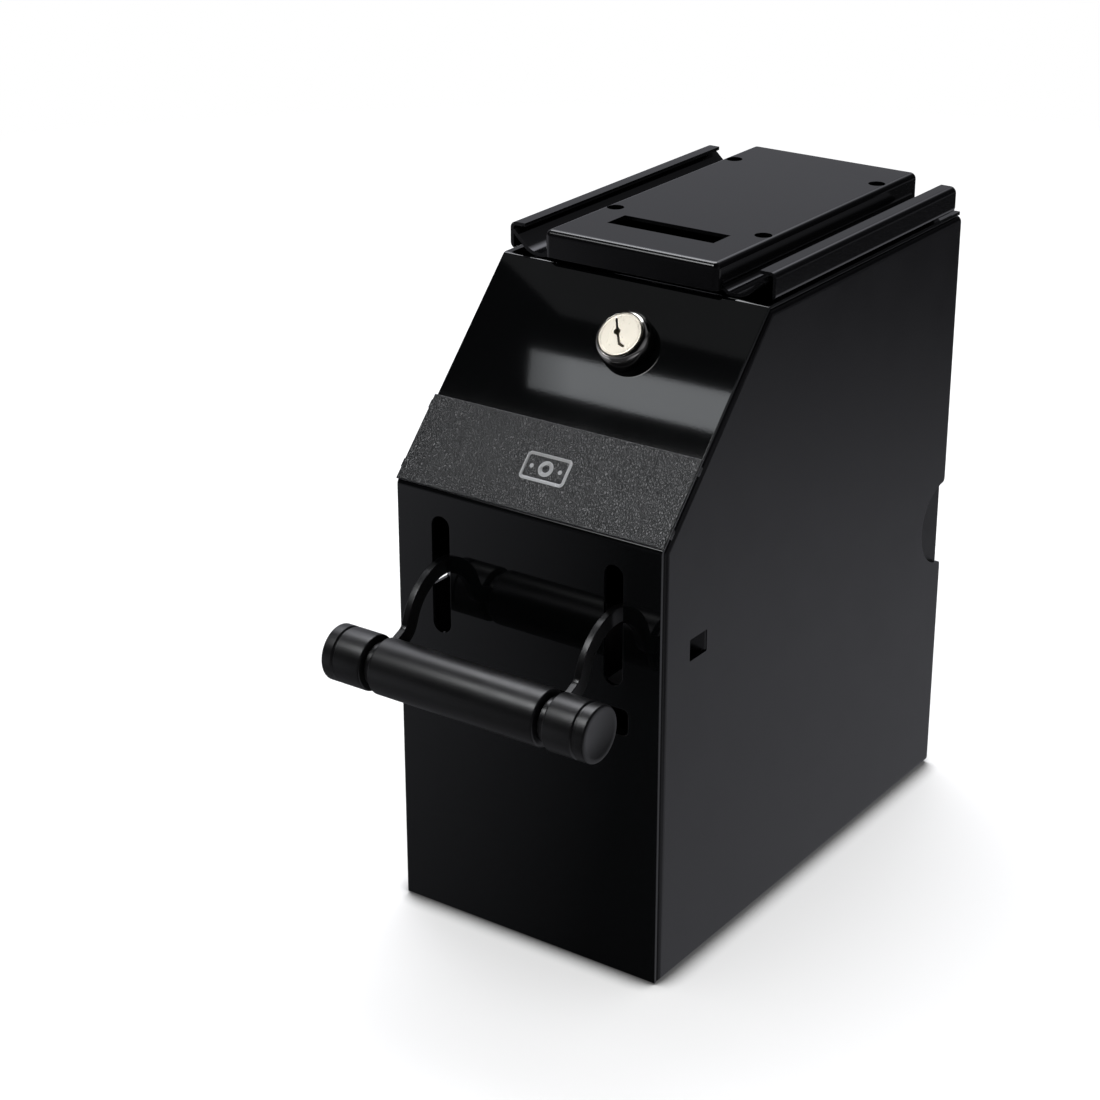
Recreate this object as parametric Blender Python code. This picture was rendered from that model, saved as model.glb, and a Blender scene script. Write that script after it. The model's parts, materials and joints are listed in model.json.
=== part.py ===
"""Under-counter note safe with a swinging lever handle, a cam lock and a slide-in mounting bracket.

The frame is metres: X to the right, Y to the back, Z up. Dimensions are measured from the plane
of the front panel, the middle of its width and the level the safe stands on. At the end it is
all moved forwards, so that the origin lies under the middle of the whole depth, handle included.
The pose modelled is the lever halfway down, the lock open, the tray and the bracket fully in.
"""
import math

import bmesh
import bpy
from mathutils import Vector

MM = 0.001

# Body
BODY_WIDTH = 102.0 * MM
BODY_DEPTH = 186.8 * MM
BODY_HEIGHT = 213.5 * MM
FRONT_HEIGHT = 151.8 * MM
SLOPE_DEPTH = 58.9 * MM
SHEET = 1.2 * MM
SEAM = 0.3 * MM
SHELL_HALF_WIDTH = 50.4 * MM
SHELL_BOTTOM = 0.4 * MM
FLANGE = 10.5 * MM
BEND = 1.0 * MM
BEND_STEPS = 4
OVERCUT = 5.0 * MM

# Openings in the body
LEVER_SLOT_X = 33.2 * MM
LEVER_SLOT_WIDTH = 7.0 * MM
LEVER_SLOT_BOTTOM = 103.0 * MM
LEVER_SLOT_TOP = 143.6 * MM
MOUTH_HALF_WIDTH = 39.0 * MM
MOUTH_BOTTOM = 86.5 * MM
MOUTH_TOP = 95.5 * MM
MOUTH_CORNER = 2.0 * MM
THUMB_NOTCH_Z = 98.2 * MM
THUMB_NOTCH_RADIUS = 15.5 * MM
WINDOW_FRONT = 16.2 * MM
WINDOW_REAR = 26.1 * MM
WINDOW_BOTTOM = 109.5 * MM
WINDOW_TOP = 116.9 * MM
TAB_ANGLE = math.radians(50.0)
TAB_THICKNESS = 1.0 * MM
TAB_INSET = 0.1 * MM
TAB_ROOT = 3.0 * MM
TAB_GAP = 0.4 * MM
DECK_SLOT_LOW_X = -33.5 * MM
DECK_SLOT_HIGH_X = 16.5 * MM
DECK_SLOT_FRONT = 66.0 * MM
DECK_SLOT_REAR = 74.5 * MM
SLOT_CORNER = 1.5 * MM

# Name plate on the lower part of the slope
PLATE_START = 0.9 * MM
PLATE_END = 31.6 * MM
PLATE_HALF_WIDTH = 50.9 * MM
PLATE_THICKNESS = 0.6 * MM
PLATE_GAP = 0.2 * MM
LUG_PLACES = (6.5 * MM, 28.0 * MM)
LUG_LENGTH = 3.0 * MM
LUG_OUTER_X = 51.2 * MM
LUG_STEP = 0.1 * MM

# Rails on the deck
RAIL_OUTER_X = 50.4 * MM
RAIL_LIP_X = 44.6 * MM
RAIL_TOP = 223.0 * MM
RAIL_FRONT = 62.6 * MM
RAIL_REAR = 182.7 * MM
RAIL_FOOT_X = 43.6 * MM
RAIL_FOOT_SETBACK = 14.0 * MM

# Mounting bracket
BRACKET_HALF_WIDTH = 32.9 * MM
BRACKET_FRONT = 56.6 * MM
BRACKET_REAR = 188.1 * MM
BRACKET_TOP = 224.4 * MM
BRACKET_SKIRT_BOTTOM = 215.4 * MM
BRACKET_STOP_BOTTOM = 211.0 * MM
BRACKET_HOLE_RADIUS = 2.9 * MM
BRACKET_HOLE_X = 28.4 * MM
BRACKET_HOLE_Y = (91.4 * MM, 166.5 * MM)
BRACKET_WINDOW_X = (-20.5 * MM, 20.0 * MM)
BRACKET_WINDOW_Y = (74.7 * MM, 85.2 * MM)
WING_FLAT_X = 40.2 * MM
WING_TIP_X = 46.2 * MM
WING_TIP_Z = 221.3 * MM
WING_FRONT = 60.0 * MM
WING_REAR = 184.0 * MM
WING_BENDS = (2.8 * MM, 2.6 * MM)
WING_RELIEF = 0.5 * MM
WING_INSET = 0.05 * MM
WALL_BOTTOM = 219.0 * MM

# Lever
PIVOT_Y = 22.0 * MM
PIVOT_Z = 112.0 * MM
HANDLE_Y = -31.8 * MM
HANDLE_Z = 104.2 * MM
HANDLE_RADIUS = 9.3 * MM
HANDLE_HALF_LENGTH = 50.1 * MM
ARM_X = 33.2 * MM
ARM_THICKNESS = 2.4 * MM
ARM_WIDTH = 5.4 * MM
ARM_ARCH_RADIUS = 18.4 * MM
ARM_CROWN = (-4.9 * MM, 142.5 * MM)
ARM_KNEE = (-17.9 * MM, 110.3 * MM)
HUB_RADIUS = 8.0 * MM
EYE_RADIUS = 7.2 * MM
SHAFT_RADIUS = 4.0 * MM
SHAFT_HALF_LENGTH = 37.5 * MM
SHAFT_FLAT = 3.3 * MM
TIE_ROD_RADIUS = 3.0 * MM
TIE_ROD_HALF_LENGTH = 45.0 * MM
RUNNING_GAP = 0.15 * MM
PRESS_GAP = 0.2 * MM
SIDE_GAP = 0.4 * MM
ARM_KNEE_BEND = 3.0 * MM
GRIP_EDGE = 0.8 * MM
KNOB_EDGE = 0.7 * MM
KNOB_GROOVE = 4.4 * MM
KNOB_GROOVE_DEPTH = 0.5 * MM

# Clips that hold the arms on the shaft
GROOVE_RADIUS = 2.8 * MM
GROOVE_WIDTH = 1.1 * MM
CLIP_INNER = 3.1 * MM
CLIP_OUTER = 6.4 * MM
CLIP_THICKNESS = 0.8 * MM
CLIP_PLAY = 0.15 * MM
CLIP_OPENING = 40.0

# Return springs, wound round the shaft
SPRING_WIRE = 0.4 * MM
SPRING_RADIUS = 5.3 * MM
SPRING_X = 29.2 * MM
SPRING_PITCH = 1.05 * MM
SPRING_TURNS = 1.75
SPRING_STEPS = 42
SPRING_SHORT_LEG = 4.0 * MM
SPRING_LONG_LEG = 9.0 * MM

# Shutter behind the note mouth
SHUTTER_LENGTH = 31.5 * MM
SHUTTER_HALF_WIDTH = 38.0 * MM
SHUTTER_NECK_HALF_WIDTH = 24.6 * MM
SHUTTER_SHOULDER_Z = 94.5 * MM
SHUTTER_SCREW_X = 15.0 * MM
SHUTTER_SCREW_RADIUS = 1.25 * MM
SHUTTER_SCREW_HOLE = 1.6 * MM
SHUTTER_SCREW_TIP = 0.4 * MM
SHUTTER_SCREW_HEAD = 5.8 * MM
SHUTTER_SCREW_HEAD_RADIUS = 2.6 * MM
SHUTTER_SCREW_HEAD_HEIGHT = 1.7 * MM
SHUTTER_SCREW_CROWN_RADIUS = 1.9 * MM
SHUTTER_SCREW_RIM = 1.0 * MM

# Chute from the note mouth down into the tray, as (y, z) after its foot and its upper edge
CHUTE_HALF_WIDTH = 38.5 * MM
CHUTE_GAP = 0.4 * MM
CHUTE_FOOT_Z = 66.0 * MM
CHUTE_CREST_Z = 84.0 * MM
CHUTE_KNEE = (24.0 * MM, 77.0 * MM)
CHUTE_END = (46.0 * MM, 65.0 * MM)
CHUTE_KNEE_BEND = 6.0 * MM

# Lever bearings
BEARING_X = 27.2 * MM
BEARING_PLATE = 2.0 * MM
BEARING_BOTTOM = 102.0 * MM
BEARING_TOP = 124.0 * MM
BEARING_EAR_RADIUS = 10.0 * MM
BEARING_FOOT = 12.0 * MM
BEARING_FOOT_STEP = 0.5 * MM
BUSH_RADIUS = 6.0 * MM
BUSH_GAP = 0.25 * MM
BUSH_FLANGE = 1.0 * MM
BUSH_FLANGE_RADIUS = 8.0 * MM

# Lock, measured from the outer face of the slope
LOCK_X = 8.8 * MM
LOCK_ALONG_SLOPE = 63.0 * MM
BEZEL_RADIUS = 9.7 * MM
BEZEL_HEIGHT = 6.4 * MM
BEZEL_DOME_WIDTH = 2.2 * MM
BEZEL_DOME_HEIGHT = 4.4 * MM
BARREL_RADIUS = 8.0 * MM
BARREL_BOTTOM = -6.6 * MM
PLUG_RADIUS = 5.5 * MM
PLUG_FACE_RADIUS = 7.45 * MM
PLUG_FACE_PROUD = 0.4 * MM
PLUG_FACE_EDGE = 0.3 * MM
PLUG_SEAT = 3.8 * MM
PLUG_BOTTOM = -6.9 * MM
PLUG_SQUARE = 7.0 * MM
PLUG_TAPPING_RADIUS = 1.75 * MM
PLUG_TAPPING_TOP = -3.0 * MM
KEYWAY_HALF_WIDTH = 0.5 * MM
KEYWAY_HALF_HEIGHT = 3.6 * MM
KEYWAY_ROUND = 1.5 * MM
KEYWAY_DEPTH = 5.0 * MM
NUT_RADIUS = 12.4 * MM
NUT_THICKNESS = 3.6 * MM
CAM_DEPTH = 8.5 * MM
CAM_THICKNESS = 2.5 * MM
CAM_WIDTH = 12.0 * MM
CAM_REACH = 44.0 * MM
CAM_CORNER = 3.0 * MM
CAM_BOSS_RADIUS = 7.5 * MM
CAM_NECK = 9.0 * MM
WASHER_INNER = 1.8 * MM
WASHER_OUTER = 5.6 * MM
WASHER_THICKNESS = 0.8 * MM
CAM_SCREW_RADIUS = 1.5 * MM
CAM_SCREW_TOP = -4.0 * MM
CAM_SCREW_HEAD_RADIUS = 3.5 * MM
CAM_SCREW_CROWN_RADIUS = 2.8 * MM
CAM_SCREW_HEAD_HEIGHT = 2.2 * MM
CAM_SCREW_RIM = 1.4 * MM

# Note tray
TRAY_HALF_WIDTH = 49.2 * MM
TRAY_FRONT = 27.5 * MM
TRAY_BOTTOM = 3.0 * MM
TRAY_TOP = 209.5 * MM
TRAY_SLOPE_GAP = 4.0 * MM
TRAY_FRONT_WALL_TOP = 58.0 * MM
LOCK_BAR_FRONT = 60.8 * MM
LOCK_BAR_REAR = 76.0 * MM
LOCK_BAR_TOP = 209.2 * MM
LOCK_BAR_SLOT_Y = (62.7 * MM, 69.4 * MM)
LOCK_BAR_SLOT_X = (-38.0 * MM, 16.5 * MM)
LOCK_BAR_TAB = 9.0 * MM
RIVET_BELOW_TOP = 5.4 * MM
RIVET_HOLE = 1.8 * MM
RIVET_RADIUS = 1.6 * MM
RIVET_HEAD_RADIUS = 3.0 * MM
RIVET_HEAD_HEIGHT = 1.2 * MM

# Finishes: linear colour, roughness, metallic
SATIN_BLACK = ((0.020, 0.020, 0.022), 0.38, 0.0)
GLOSS_BLACK = ((0.011, 0.011, 0.012), 0.16, 0.0)
GRAINED_BLACK = ((0.032, 0.032, 0.034), 0.55, 0.0)
HANDLE_BLACK = ((0.018, 0.018, 0.019), 0.42, 0.0)
BRIGHT_NICKEL = ((0.78, 0.76, 0.72), 0.12, 1.0)
SATIN_NICKEL = ((0.58, 0.55, 0.49), 0.32, 1.0)
ZINC_STEEL = ((0.45, 0.46, 0.47), 0.35, 1.0)
SPRING_STEEL = ((0.30, 0.30, 0.31), 0.30, 1.0)
BEARING_PLASTIC = ((0.62, 0.61, 0.57), 0.50, 0.0)

SLOPE_ANGLE = math.atan2(BODY_HEIGHT - FRONT_HEIGHT, SLOPE_DEPTH)
SLOPE_UP = Vector((0.0, math.cos(SLOPE_ANGLE), math.sin(SLOPE_ANGLE)))
SLOPE_FOOT = Vector((0.0, 0.0, FRONT_HEIGHT))
PIVOT = (PIVOT_Y, PIVOT_Z)
HANDLE = (HANDLE_Y, HANDLE_Z)
FRONTMOST = HANDLE_Y - HANDLE_RADIUS


# ---------------------------------------------------------------- outlines

def arc(centre, radius, start_deg, end_deg, steps):
    """Points along an arc, both ends included."""
    points = []
    for i in range(steps + 1):
        angle = math.radians(start_deg + (end_deg - start_deg) * i / steps)
        points.append((centre[0] + radius * math.cos(angle), centre[1] + radius * math.sin(angle)))
    return points


def circle(centre, radius, steps):
    """Closed circle, its first point to the right of the centre."""
    return arc(centre, radius, 0.0, 360.0, steps)[:-1]


def rectangle(low_a, high_a, low_b, high_b):
    return [(low_a, low_b), (high_a, low_b), (high_a, high_b), (low_a, high_b)]


def rounded_rectangle(low_a, high_a, low_b, high_b, radius, steps=5):
    """Rectangle with round corners; with a radius of half its width it is a slot."""
    corners = (
        ((high_a - radius, low_b + radius), -90.0),
        ((high_a - radius, high_b - radius), 0.0),
        ((low_a + radius, high_b - radius), 90.0),
        ((low_a + radius, low_b + radius), 180.0),
    )
    points = []
    for centre, start in corners:
        points += arc(centre, radius, start, start + 90.0, steps)
    return points


def double_flat(centre, radius, half_flat, steps=6):
    """Circle with a flat above and a flat below."""
    limit = math.degrees(math.asin(half_flat / radius))
    right = arc(centre, radius, -limit, limit, steps)
    left = arc(centre, radius, 180.0 - limit, 180.0 + limit, steps)
    return right + left


def turn_at(before, corner, after):
    """Directions into and out of a corner, and the signed angle turned there."""
    into = (Vector(corner) - Vector(before)).normalized()
    out = (Vector(after) - Vector(corner)).normalized()
    turn = math.atan2(into.x * out.y - into.y * out.x, into.dot(out))
    return into, out, turn


def rounded_path(points, radii, steps):
    """Open path whose inner corners are arcs of the given radii."""
    path = [tuple(points[0])]
    for i in range(1, len(points) - 1):
        into, out, turn = turn_at(points[i - 1], points[i], points[i + 1])
        radius = radii[i - 1]
        start = Vector(points[i]) - into * radius * math.tan(abs(turn) / 2.0)
        side = math.copysign(1.0, turn)
        centre = start + Vector((-into.y, into.x)) * radius * side
        first = math.degrees(math.atan2(start.y - centre.y, start.x - centre.x))
        path += arc(centre, radius, first, first + math.degrees(turn), steps)
    path.append(tuple(points[-1]))
    return path


def offset_points(points, distance):
    """Corner points of the path moved to its left by a distance."""
    moved = []
    last = len(points) - 1
    for i in range(last + 1):
        before = points[max(i - 1, 0)]
        after = points[min(i + 1, last)]
        if i == 0:
            before = Vector(points[0]) * 2.0 - Vector(points[1])
        if i == last:
            after = Vector(points[last]) * 2.0 - Vector(points[last - 1])
        into, out, turn = turn_at(before, points[i], after)
        normal = Vector((-into.y - out.y, into.x + out.x)).normalized()
        moved.append(tuple(Vector(points[i]) + normal * distance / math.cos(turn / 2.0)))
    return moved


def sheet_faces(points, thickness, bends, steps=BEND_STEPS):
    """The two faces of a bent sheet: the given path, and its copy a thickness to the left."""
    face_radii = []
    back_radii = []
    for i in range(1, len(points) - 1):
        turn = turn_at(points[i - 1], points[i], points[i + 1])[2]
        inside = bends[i - 1]
        outside = inside + abs(thickness)
        given_is_outside = turn * thickness > 0.0
        face_radii.append(outside if given_is_outside else inside)
        back_radii.append(inside if given_is_outside else outside)
    face = rounded_path(points, face_radii, steps)
    back = rounded_path(offset_points(points, thickness), back_radii, steps)
    return face, back


# ---------------------------------------------------------------- solids

def in_space(axis, along, pair):
    """Point of a cross-section placed along the axis of an extrusion."""
    a, b = pair
    if axis == "X":
        return (along, a, b)
    if axis == "Y":
        return (a, along, b)
    return (a, b, along)


def make_object(name, bm):
    bmesh.ops.recalc_face_normals(bm, faces=bm.faces)
    mesh = bpy.data.meshes.new(name)
    bm.to_mesh(mesh)
    bm.free()
    mesh.shade_smooth()
    mesh.set_sharp_from_angle(angle=math.radians(30.0))
    obj = bpy.data.objects.new(name, mesh)
    bpy.context.collection.objects.link(obj)
    return obj


def prism(name, axis, outline, low, high):
    """Closed outline extruded along an axis."""
    bm = bmesh.new()
    verts = [bm.verts.new(in_space(axis, low, point)) for point in outline]
    face = bm.faces.new(verts)
    extruded = bmesh.ops.extrude_face_region(bm, geom=[face])["geom"]
    shift = in_space(axis, high - low, (0.0, 0.0))
    far = [item for item in extruded if isinstance(item, bmesh.types.BMVert)]
    bmesh.ops.translate(bm, verts=far, vec=shift)
    return make_object(name, bm)


def sheet(name, axis, points, thickness, bends, low, high):
    """Sheet metal bent along a path and as wide as the extrusion is long."""
    face, back = sheet_faces(points, thickness, bends)
    bm = bmesh.new()
    rows = []
    for along in (low, high):
        for path in (face, back):
            rows.append([bm.verts.new(in_space(axis, along, point)) for point in path])
    near_face, near_back, far_face, far_back = rows
    for first, second in ((near_face, near_back), (near_back, far_back),
                          (far_back, far_face), (far_face, near_face)):
        for i in range(len(first) - 1):
            bm.faces.new((first[i], first[i + 1], second[i + 1], second[i]))
    for i in (0, len(face) - 1):
        bm.faces.new((near_face[i], near_back[i], far_back[i], far_face[i]))
    return make_object(name, bm)


def block(name, low, high):
    outline = rectangle(low[0], high[0], low[1], high[1])
    return prism(name, "Z", outline, low[2], high[2])


def turned(name, profile, steps, closed):
    """Profile of (radius, height) points spun about the local Z axis."""
    bm = bmesh.new()
    verts = [bm.verts.new((radius, 0.0, height)) for radius, height in profile]
    edges = [bm.edges.new((verts[i], verts[i + 1])) for i in range(len(verts) - 1)]
    if closed:
        edges.append(bm.edges.new((verts[-1], verts[0])))
    bmesh.ops.spin(bm, geom=verts + edges, cent=(0.0, 0.0, 0.0), axis=(0.0, 0.0, 1.0),
                   angle=math.tau, steps=steps, use_merge=True)
    bmesh.ops.remove_doubles(bm, verts=bm.verts, dist=1e-7)
    return make_object(name, bm)


def turned_on_x(name, profile, steps, closed, centre):
    """Turned piece whose profile heights run along X, on the axis through (y, z)."""
    obj = turned(name, profile, steps, closed)
    obj.rotation_euler = (0.0, math.pi / 2.0, 0.0)
    obj.location = (0.0, centre[0], centre[1])
    return obj


def rod(name, centre, radius, low, high, steps=30):
    """Plain cylinder along X."""
    profile = [(0.0, low), (radius, low), (radius, high), (0.0, high)]
    return turned_on_x(name, profile, steps, False, centre)


def tube(name, centre, inner, outer, low, high, steps=30):
    profile = [(inner, low), (outer, low), (outer, high), (inner, high)]
    return turned_on_x(name, profile, steps, True, centre)


def boolean(target, tool, operation):
    tool.hide_render = True
    tool.display_type = "WIRE"
    modifier = target.modifiers.new(operation.lower(), "BOOLEAN")
    modifier.operation = operation
    modifier.solver = "EXACT"
    modifier.object = tool
    return target


def cut(target, tool):
    return boolean(target, tool, "DIFFERENCE")


def fuse(target, tool):
    return boolean(target, tool, "UNION")


def finish(obj, look):
    colour, roughness, metallic = look
    material = bpy.data.materials.new(obj.name)
    material.use_nodes = True
    shader = material.node_tree.nodes["Principled BSDF"]
    shader.inputs["Base Color"].default_value = (*colour, 1.0)
    shader.inputs["Roughness"].default_value = roughness
    shader.inputs["Metallic"].default_value = metallic
    obj.data.materials.append(material)
    return obj


def axis_empty(name, location, rotation=(0.0, 0.0, 0.0)):
    empty = bpy.data.objects.new(name, None)
    empty.location = location
    empty.rotation_euler = rotation
    bpy.context.collection.objects.link(empty)
    return empty


def carry(empty, pieces):
    """Parent pieces to an unrotated empty and leave them where they are."""
    for piece in pieces:
        piece.parent = empty
        piece.location = Vector(piece.location) - Vector(empty.location)


def place_on_slope(obj, along=0.0, x=0.0):
    """Local Y up the slope, local Z out of it."""
    obj.location = SLOPE_FOOT + SLOPE_UP * along + Vector((x, 0.0, 0.0))
    obj.rotation_euler = (SLOPE_ANGLE, 0.0, 0.0)
    return obj


def sides():
    return (("left", -1.0), ("right", 1.0))


def span(side, inner, outer):
    """Low and high X of a stretch given for the right-hand side."""
    return tuple(sorted((side * inner, side * outer)))


# ---------------------------------------------------------------- body

def body_profile(inset, rear):
    """Front, slope and deck line, moved inwards by an inset, from the rear of the deck down."""
    line = [(rear, BODY_HEIGHT), (SLOPE_DEPTH, BODY_HEIGHT), (0.0, FRONT_HEIGHT), (0.0, 0.0)]
    return offset_points(line, inset)


def make_wrap_shell():
    line = [(BODY_DEPTH, BODY_HEIGHT), (SLOPE_DEPTH, BODY_HEIGHT),
            (0.0, FRONT_HEIGHT), (0.0, SHELL_BOTTOM)]
    shell = sheet("wrap_shell", "X", line, SHEET, (BEND, BEND),
                  -SHELL_HALF_WIDTH, SHELL_HALF_WIDTH)
    half_slot = LEVER_SLOT_WIDTH / 2.0
    for label, side in sides():
        centre = side * LEVER_SLOT_X
        outline = rounded_rectangle(centre - half_slot, centre + half_slot,
                                    LEVER_SLOT_BOTTOM, LEVER_SLOT_TOP, half_slot)
        cut(shell, prism(label + "_slot_cutter", "Y", outline, -OVERCUT, OVERCUT))
    mouth = rounded_rectangle(-MOUTH_HALF_WIDTH, MOUTH_HALF_WIDTH,
                              MOUTH_BOTTOM, MOUTH_TOP, MOUTH_CORNER)
    cut(shell, prism("mouth_cutter", "Y", mouth, -OVERCUT, OVERCUT))
    deck_slot = rounded_rectangle(DECK_SLOT_LOW_X, DECK_SLOT_HIGH_X,
                                  DECK_SLOT_FRONT, DECK_SLOT_REAR, SLOT_CORNER)
    cut(shell, prism("deck_slot_cutter", "Z", deck_slot, BODY_HEIGHT - OVERCUT, BODY_HEIGHT + OVERCUT))
    hole = [(0.0, -OVERCUT), (BARREL_RADIUS + SEAM, -OVERCUT),
            (BARREL_RADIUS + SEAM, OVERCUT), (0.0, OVERCUT)]
    lock_hole = turned("lock_hole_cutter", hole, 40, False)
    cut(shell, place_on_slope(lock_hole, LOCK_ALONG_SLOPE, LOCK_X))
    return finish(shell, GLOSS_BLACK)


def pan_solid(name, inset, rear, low, high, outer_x, radius):
    """Prism of the side outline with the edges round its outer face bent over."""
    outline = body_profile(SHEET + SEAM + inset, rear)
    outline[-1] = (outline[-1][0], inset)
    outline.append((rear, inset))
    obj = prism(name, "X", outline, low, high)
    bm = bmesh.new()
    bm.from_mesh(obj.data)
    rim = []
    for edge in bm.edges:
        ends = [vert.co for vert in edge.verts]
        on_outer_face = all(abs(co.x - outer_x) < 1e-6 for co in ends)
        on_rear = all(abs(co.y - rear) < 1e-6 for co in ends)
        if on_outer_face and not on_rear:
            rim.append(edge)
    bmesh.ops.bevel(bm, geom=rim, offset=radius, segments=BEND_STEPS, profile=0.5, affect="EDGES")
    bm.to_mesh(obj.data)
    bm.free()
    return obj


def make_side_pan(label, side):
    outer_x = side * BODY_WIDTH / 2.0
    flange_x = side * (BODY_WIDTH / 2.0 - FLANGE)
    inner_x = side * (BODY_WIDTH / 2.0 - SHEET)
    low, high = sorted((outer_x, flange_x))
    pan = pan_solid(label + "_side_pan", 0.0, BODY_DEPTH, low, high, outer_x, BEND + SHEET)
    low, high = sorted((inner_x, flange_x - side * OVERCUT))
    hollow_rear = BODY_DEPTH + OVERCUT
    cut(pan, pan_solid(label + "_pan_hollow", SHEET, hollow_rear, low, high, inner_x, BEND))
    window = rectangle(WINDOW_FRONT, WINDOW_REAR, WINDOW_BOTTOM, WINDOW_TOP)
    low, high = sorted((outer_x + side * SHEET, inner_x - side * SHEET))
    cut(pan, prism(label + "_window_cutter", "X", window, low, high))
    notch = circle((BODY_DEPTH, THUMB_NOTCH_Z), THUMB_NOTCH_RADIUS, 24)
    cut(pan, prism(label + "_thumb_notch_cutter", "X", notch, low, high))
    fuse(pan, make_tab(label, side))
    return finish(pan, SATIN_BLACK)


def make_tab(label, side):
    """Tongue lanced out of the side window and bent inwards from its rear end."""
    face_x = BODY_WIDTH / 2.0 - TAB_INSET
    reach = WINDOW_REAR - WINDOW_FRONT
    tip = (side * (face_x - reach * math.sin(TAB_ANGLE)), WINDOW_REAR - reach * math.cos(TAB_ANGLE))
    path = [(side * face_x, WINDOW_REAR + TAB_ROOT), (side * face_x, WINDOW_REAR), tip]
    return sheet(label + "_tab", "Z", path, -side * TAB_THICKNESS, (BEND,),
                 WINDOW_BOTTOM + TAB_GAP, WINDOW_TOP - TAB_GAP)


def make_base_panel():
    bottom = SHEET + SEAM
    front = 2.0 * SHEET + 3.0 * SEAM
    line = [(BODY_DEPTH - SEAM, bottom), (front, bottom), (front, bottom + FLANGE)]
    half_width = BODY_WIDTH / 2.0 - 2.0 * SHEET
    panel = sheet("base_panel", "X", line, -SHEET, (BEND,), -half_width, half_width)
    return finish(panel, SATIN_BLACK)


def make_rail(label, side):
    foot = BODY_HEIGHT + SEAM
    line = [(side * RAIL_FOOT_X, foot), (side * RAIL_OUTER_X, foot),
            (side * RAIL_OUTER_X, RAIL_TOP), (side * RAIL_LIP_X, RAIL_TOP)]
    rail = sheet(label + "_rail", "Y", line, side * SHEET, (BEND, BEND), RAIL_FRONT, RAIL_REAR)
    near, far = span(side, RAIL_FOOT_X - OVERCUT, RAIL_OUTER_X - SHEET)
    relief_top = foot + SHEET + BEND
    for name, start, end in (("front", RAIL_FRONT - OVERCUT, RAIL_FRONT + RAIL_FOOT_SETBACK),
                             ("rear", RAIL_REAR - RAIL_FOOT_SETBACK, RAIL_REAR + OVERCUT)):
        cut(rail, block("%s_%s_foot_relief" % (label, name),
                        (near, start, foot - OVERCUT), (far, end, relief_top)))
    return finish(rail, SATIN_BLACK)


def make_name_plate():
    """Thin cover on the slope, with small lugs folded over the edges of the shell."""
    top = PLATE_GAP + PLATE_THICKNESS
    plate = block("name_plate", (-PLATE_HALF_WIDTH, PLATE_START, PLATE_GAP),
                  (PLATE_HALF_WIDTH, PLATE_END, top))
    place_on_slope(plate)
    for label, side in sides():
        for number, along in enumerate(LUG_PLACES):
            near, far = span(side, SHELL_HALF_WIDTH + PLATE_GAP, LUG_OUTER_X)
            lug = block("%s_lug_%d" % (label, number),
                        (near, along - LUG_LENGTH / 2.0, -SHEET + PLATE_GAP),
                        (far, along + LUG_LENGTH / 2.0, top - LUG_STEP))
            fuse(plate, place_on_slope(lug))
    return finish(plate, GRAINED_BLACK)


def make_note_chute():
    """Shelf behind the note mouth that turns the notes down into the tray."""
    front = SHEET + CHUTE_GAP
    line = [(front, CHUTE_FOOT_Z), (front, CHUTE_CREST_Z), CHUTE_KNEE, CHUTE_END]
    chute = sheet("note_chute", "X", line, -SHEET, (BEND, CHUTE_KNEE_BEND),
                  -CHUTE_HALF_WIDTH, CHUTE_HALF_WIDTH)
    return finish(chute, ZINC_STEEL)


# ---------------------------------------------------------------- lever

def make_pivot_bracket(label, side):
    """Ear welded to the back of the front panel, carrying the lever's bearing."""
    front = SHEET + SEAM
    outline = arc(PIVOT, BEARING_EAR_RADIUS, -80.0, 80.0, 16)
    outline += [(front, BEARING_TOP), (front, BEARING_BOTTOM)]
    half = BEARING_PLATE / 2.0
    low, high = span(side, BEARING_X - half, BEARING_X + half)
    ear = prism(label + "_pivot_bracket", "X", outline, low, high)
    foot_low, foot_high = span(side, BEARING_X - BEARING_FOOT, BEARING_X + half)
    foot = block(label + "_bracket_foot", (foot_low, front, BEARING_BOTTOM + BEARING_FOOT_STEP),
                 (foot_high, front + BEARING_PLATE, BEARING_TOP - BEARING_FOOT_STEP))
    fuse(ear, foot)
    cut(ear, rod(label + "_bush_bore", PIVOT, BUSH_RADIUS + BUSH_GAP, low - OVERCUT, high + OVERCUT))
    return finish(ear, ZINC_STEEL)


def make_pivot_bush(label, side):
    """Flanged sleeve bearing, its flange on the inner side of the ear."""
    half = BEARING_PLATE / 2.0
    flange_outer = BEARING_X - half - SEAM
    flange_inner = flange_outer - BUSH_FLANGE
    end = BEARING_X + half + SIDE_GAP
    bore = SHAFT_RADIUS + RUNNING_GAP
    profile = [(bore, side * flange_inner), (BUSH_FLANGE_RADIUS, side * flange_inner),
               (BUSH_FLANGE_RADIUS, side * flange_outer), (BUSH_RADIUS, side * flange_outer),
               (BUSH_RADIUS, side * end), (bore, side * end)]
    return finish(turned_on_x(label + "_pivot_bush", profile, 32, True, PIVOT), BEARING_PLASTIC)


def clip_groove_x():
    return ARM_X + ARM_THICKNESS / 2.0 + SIDE_GAP


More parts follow.
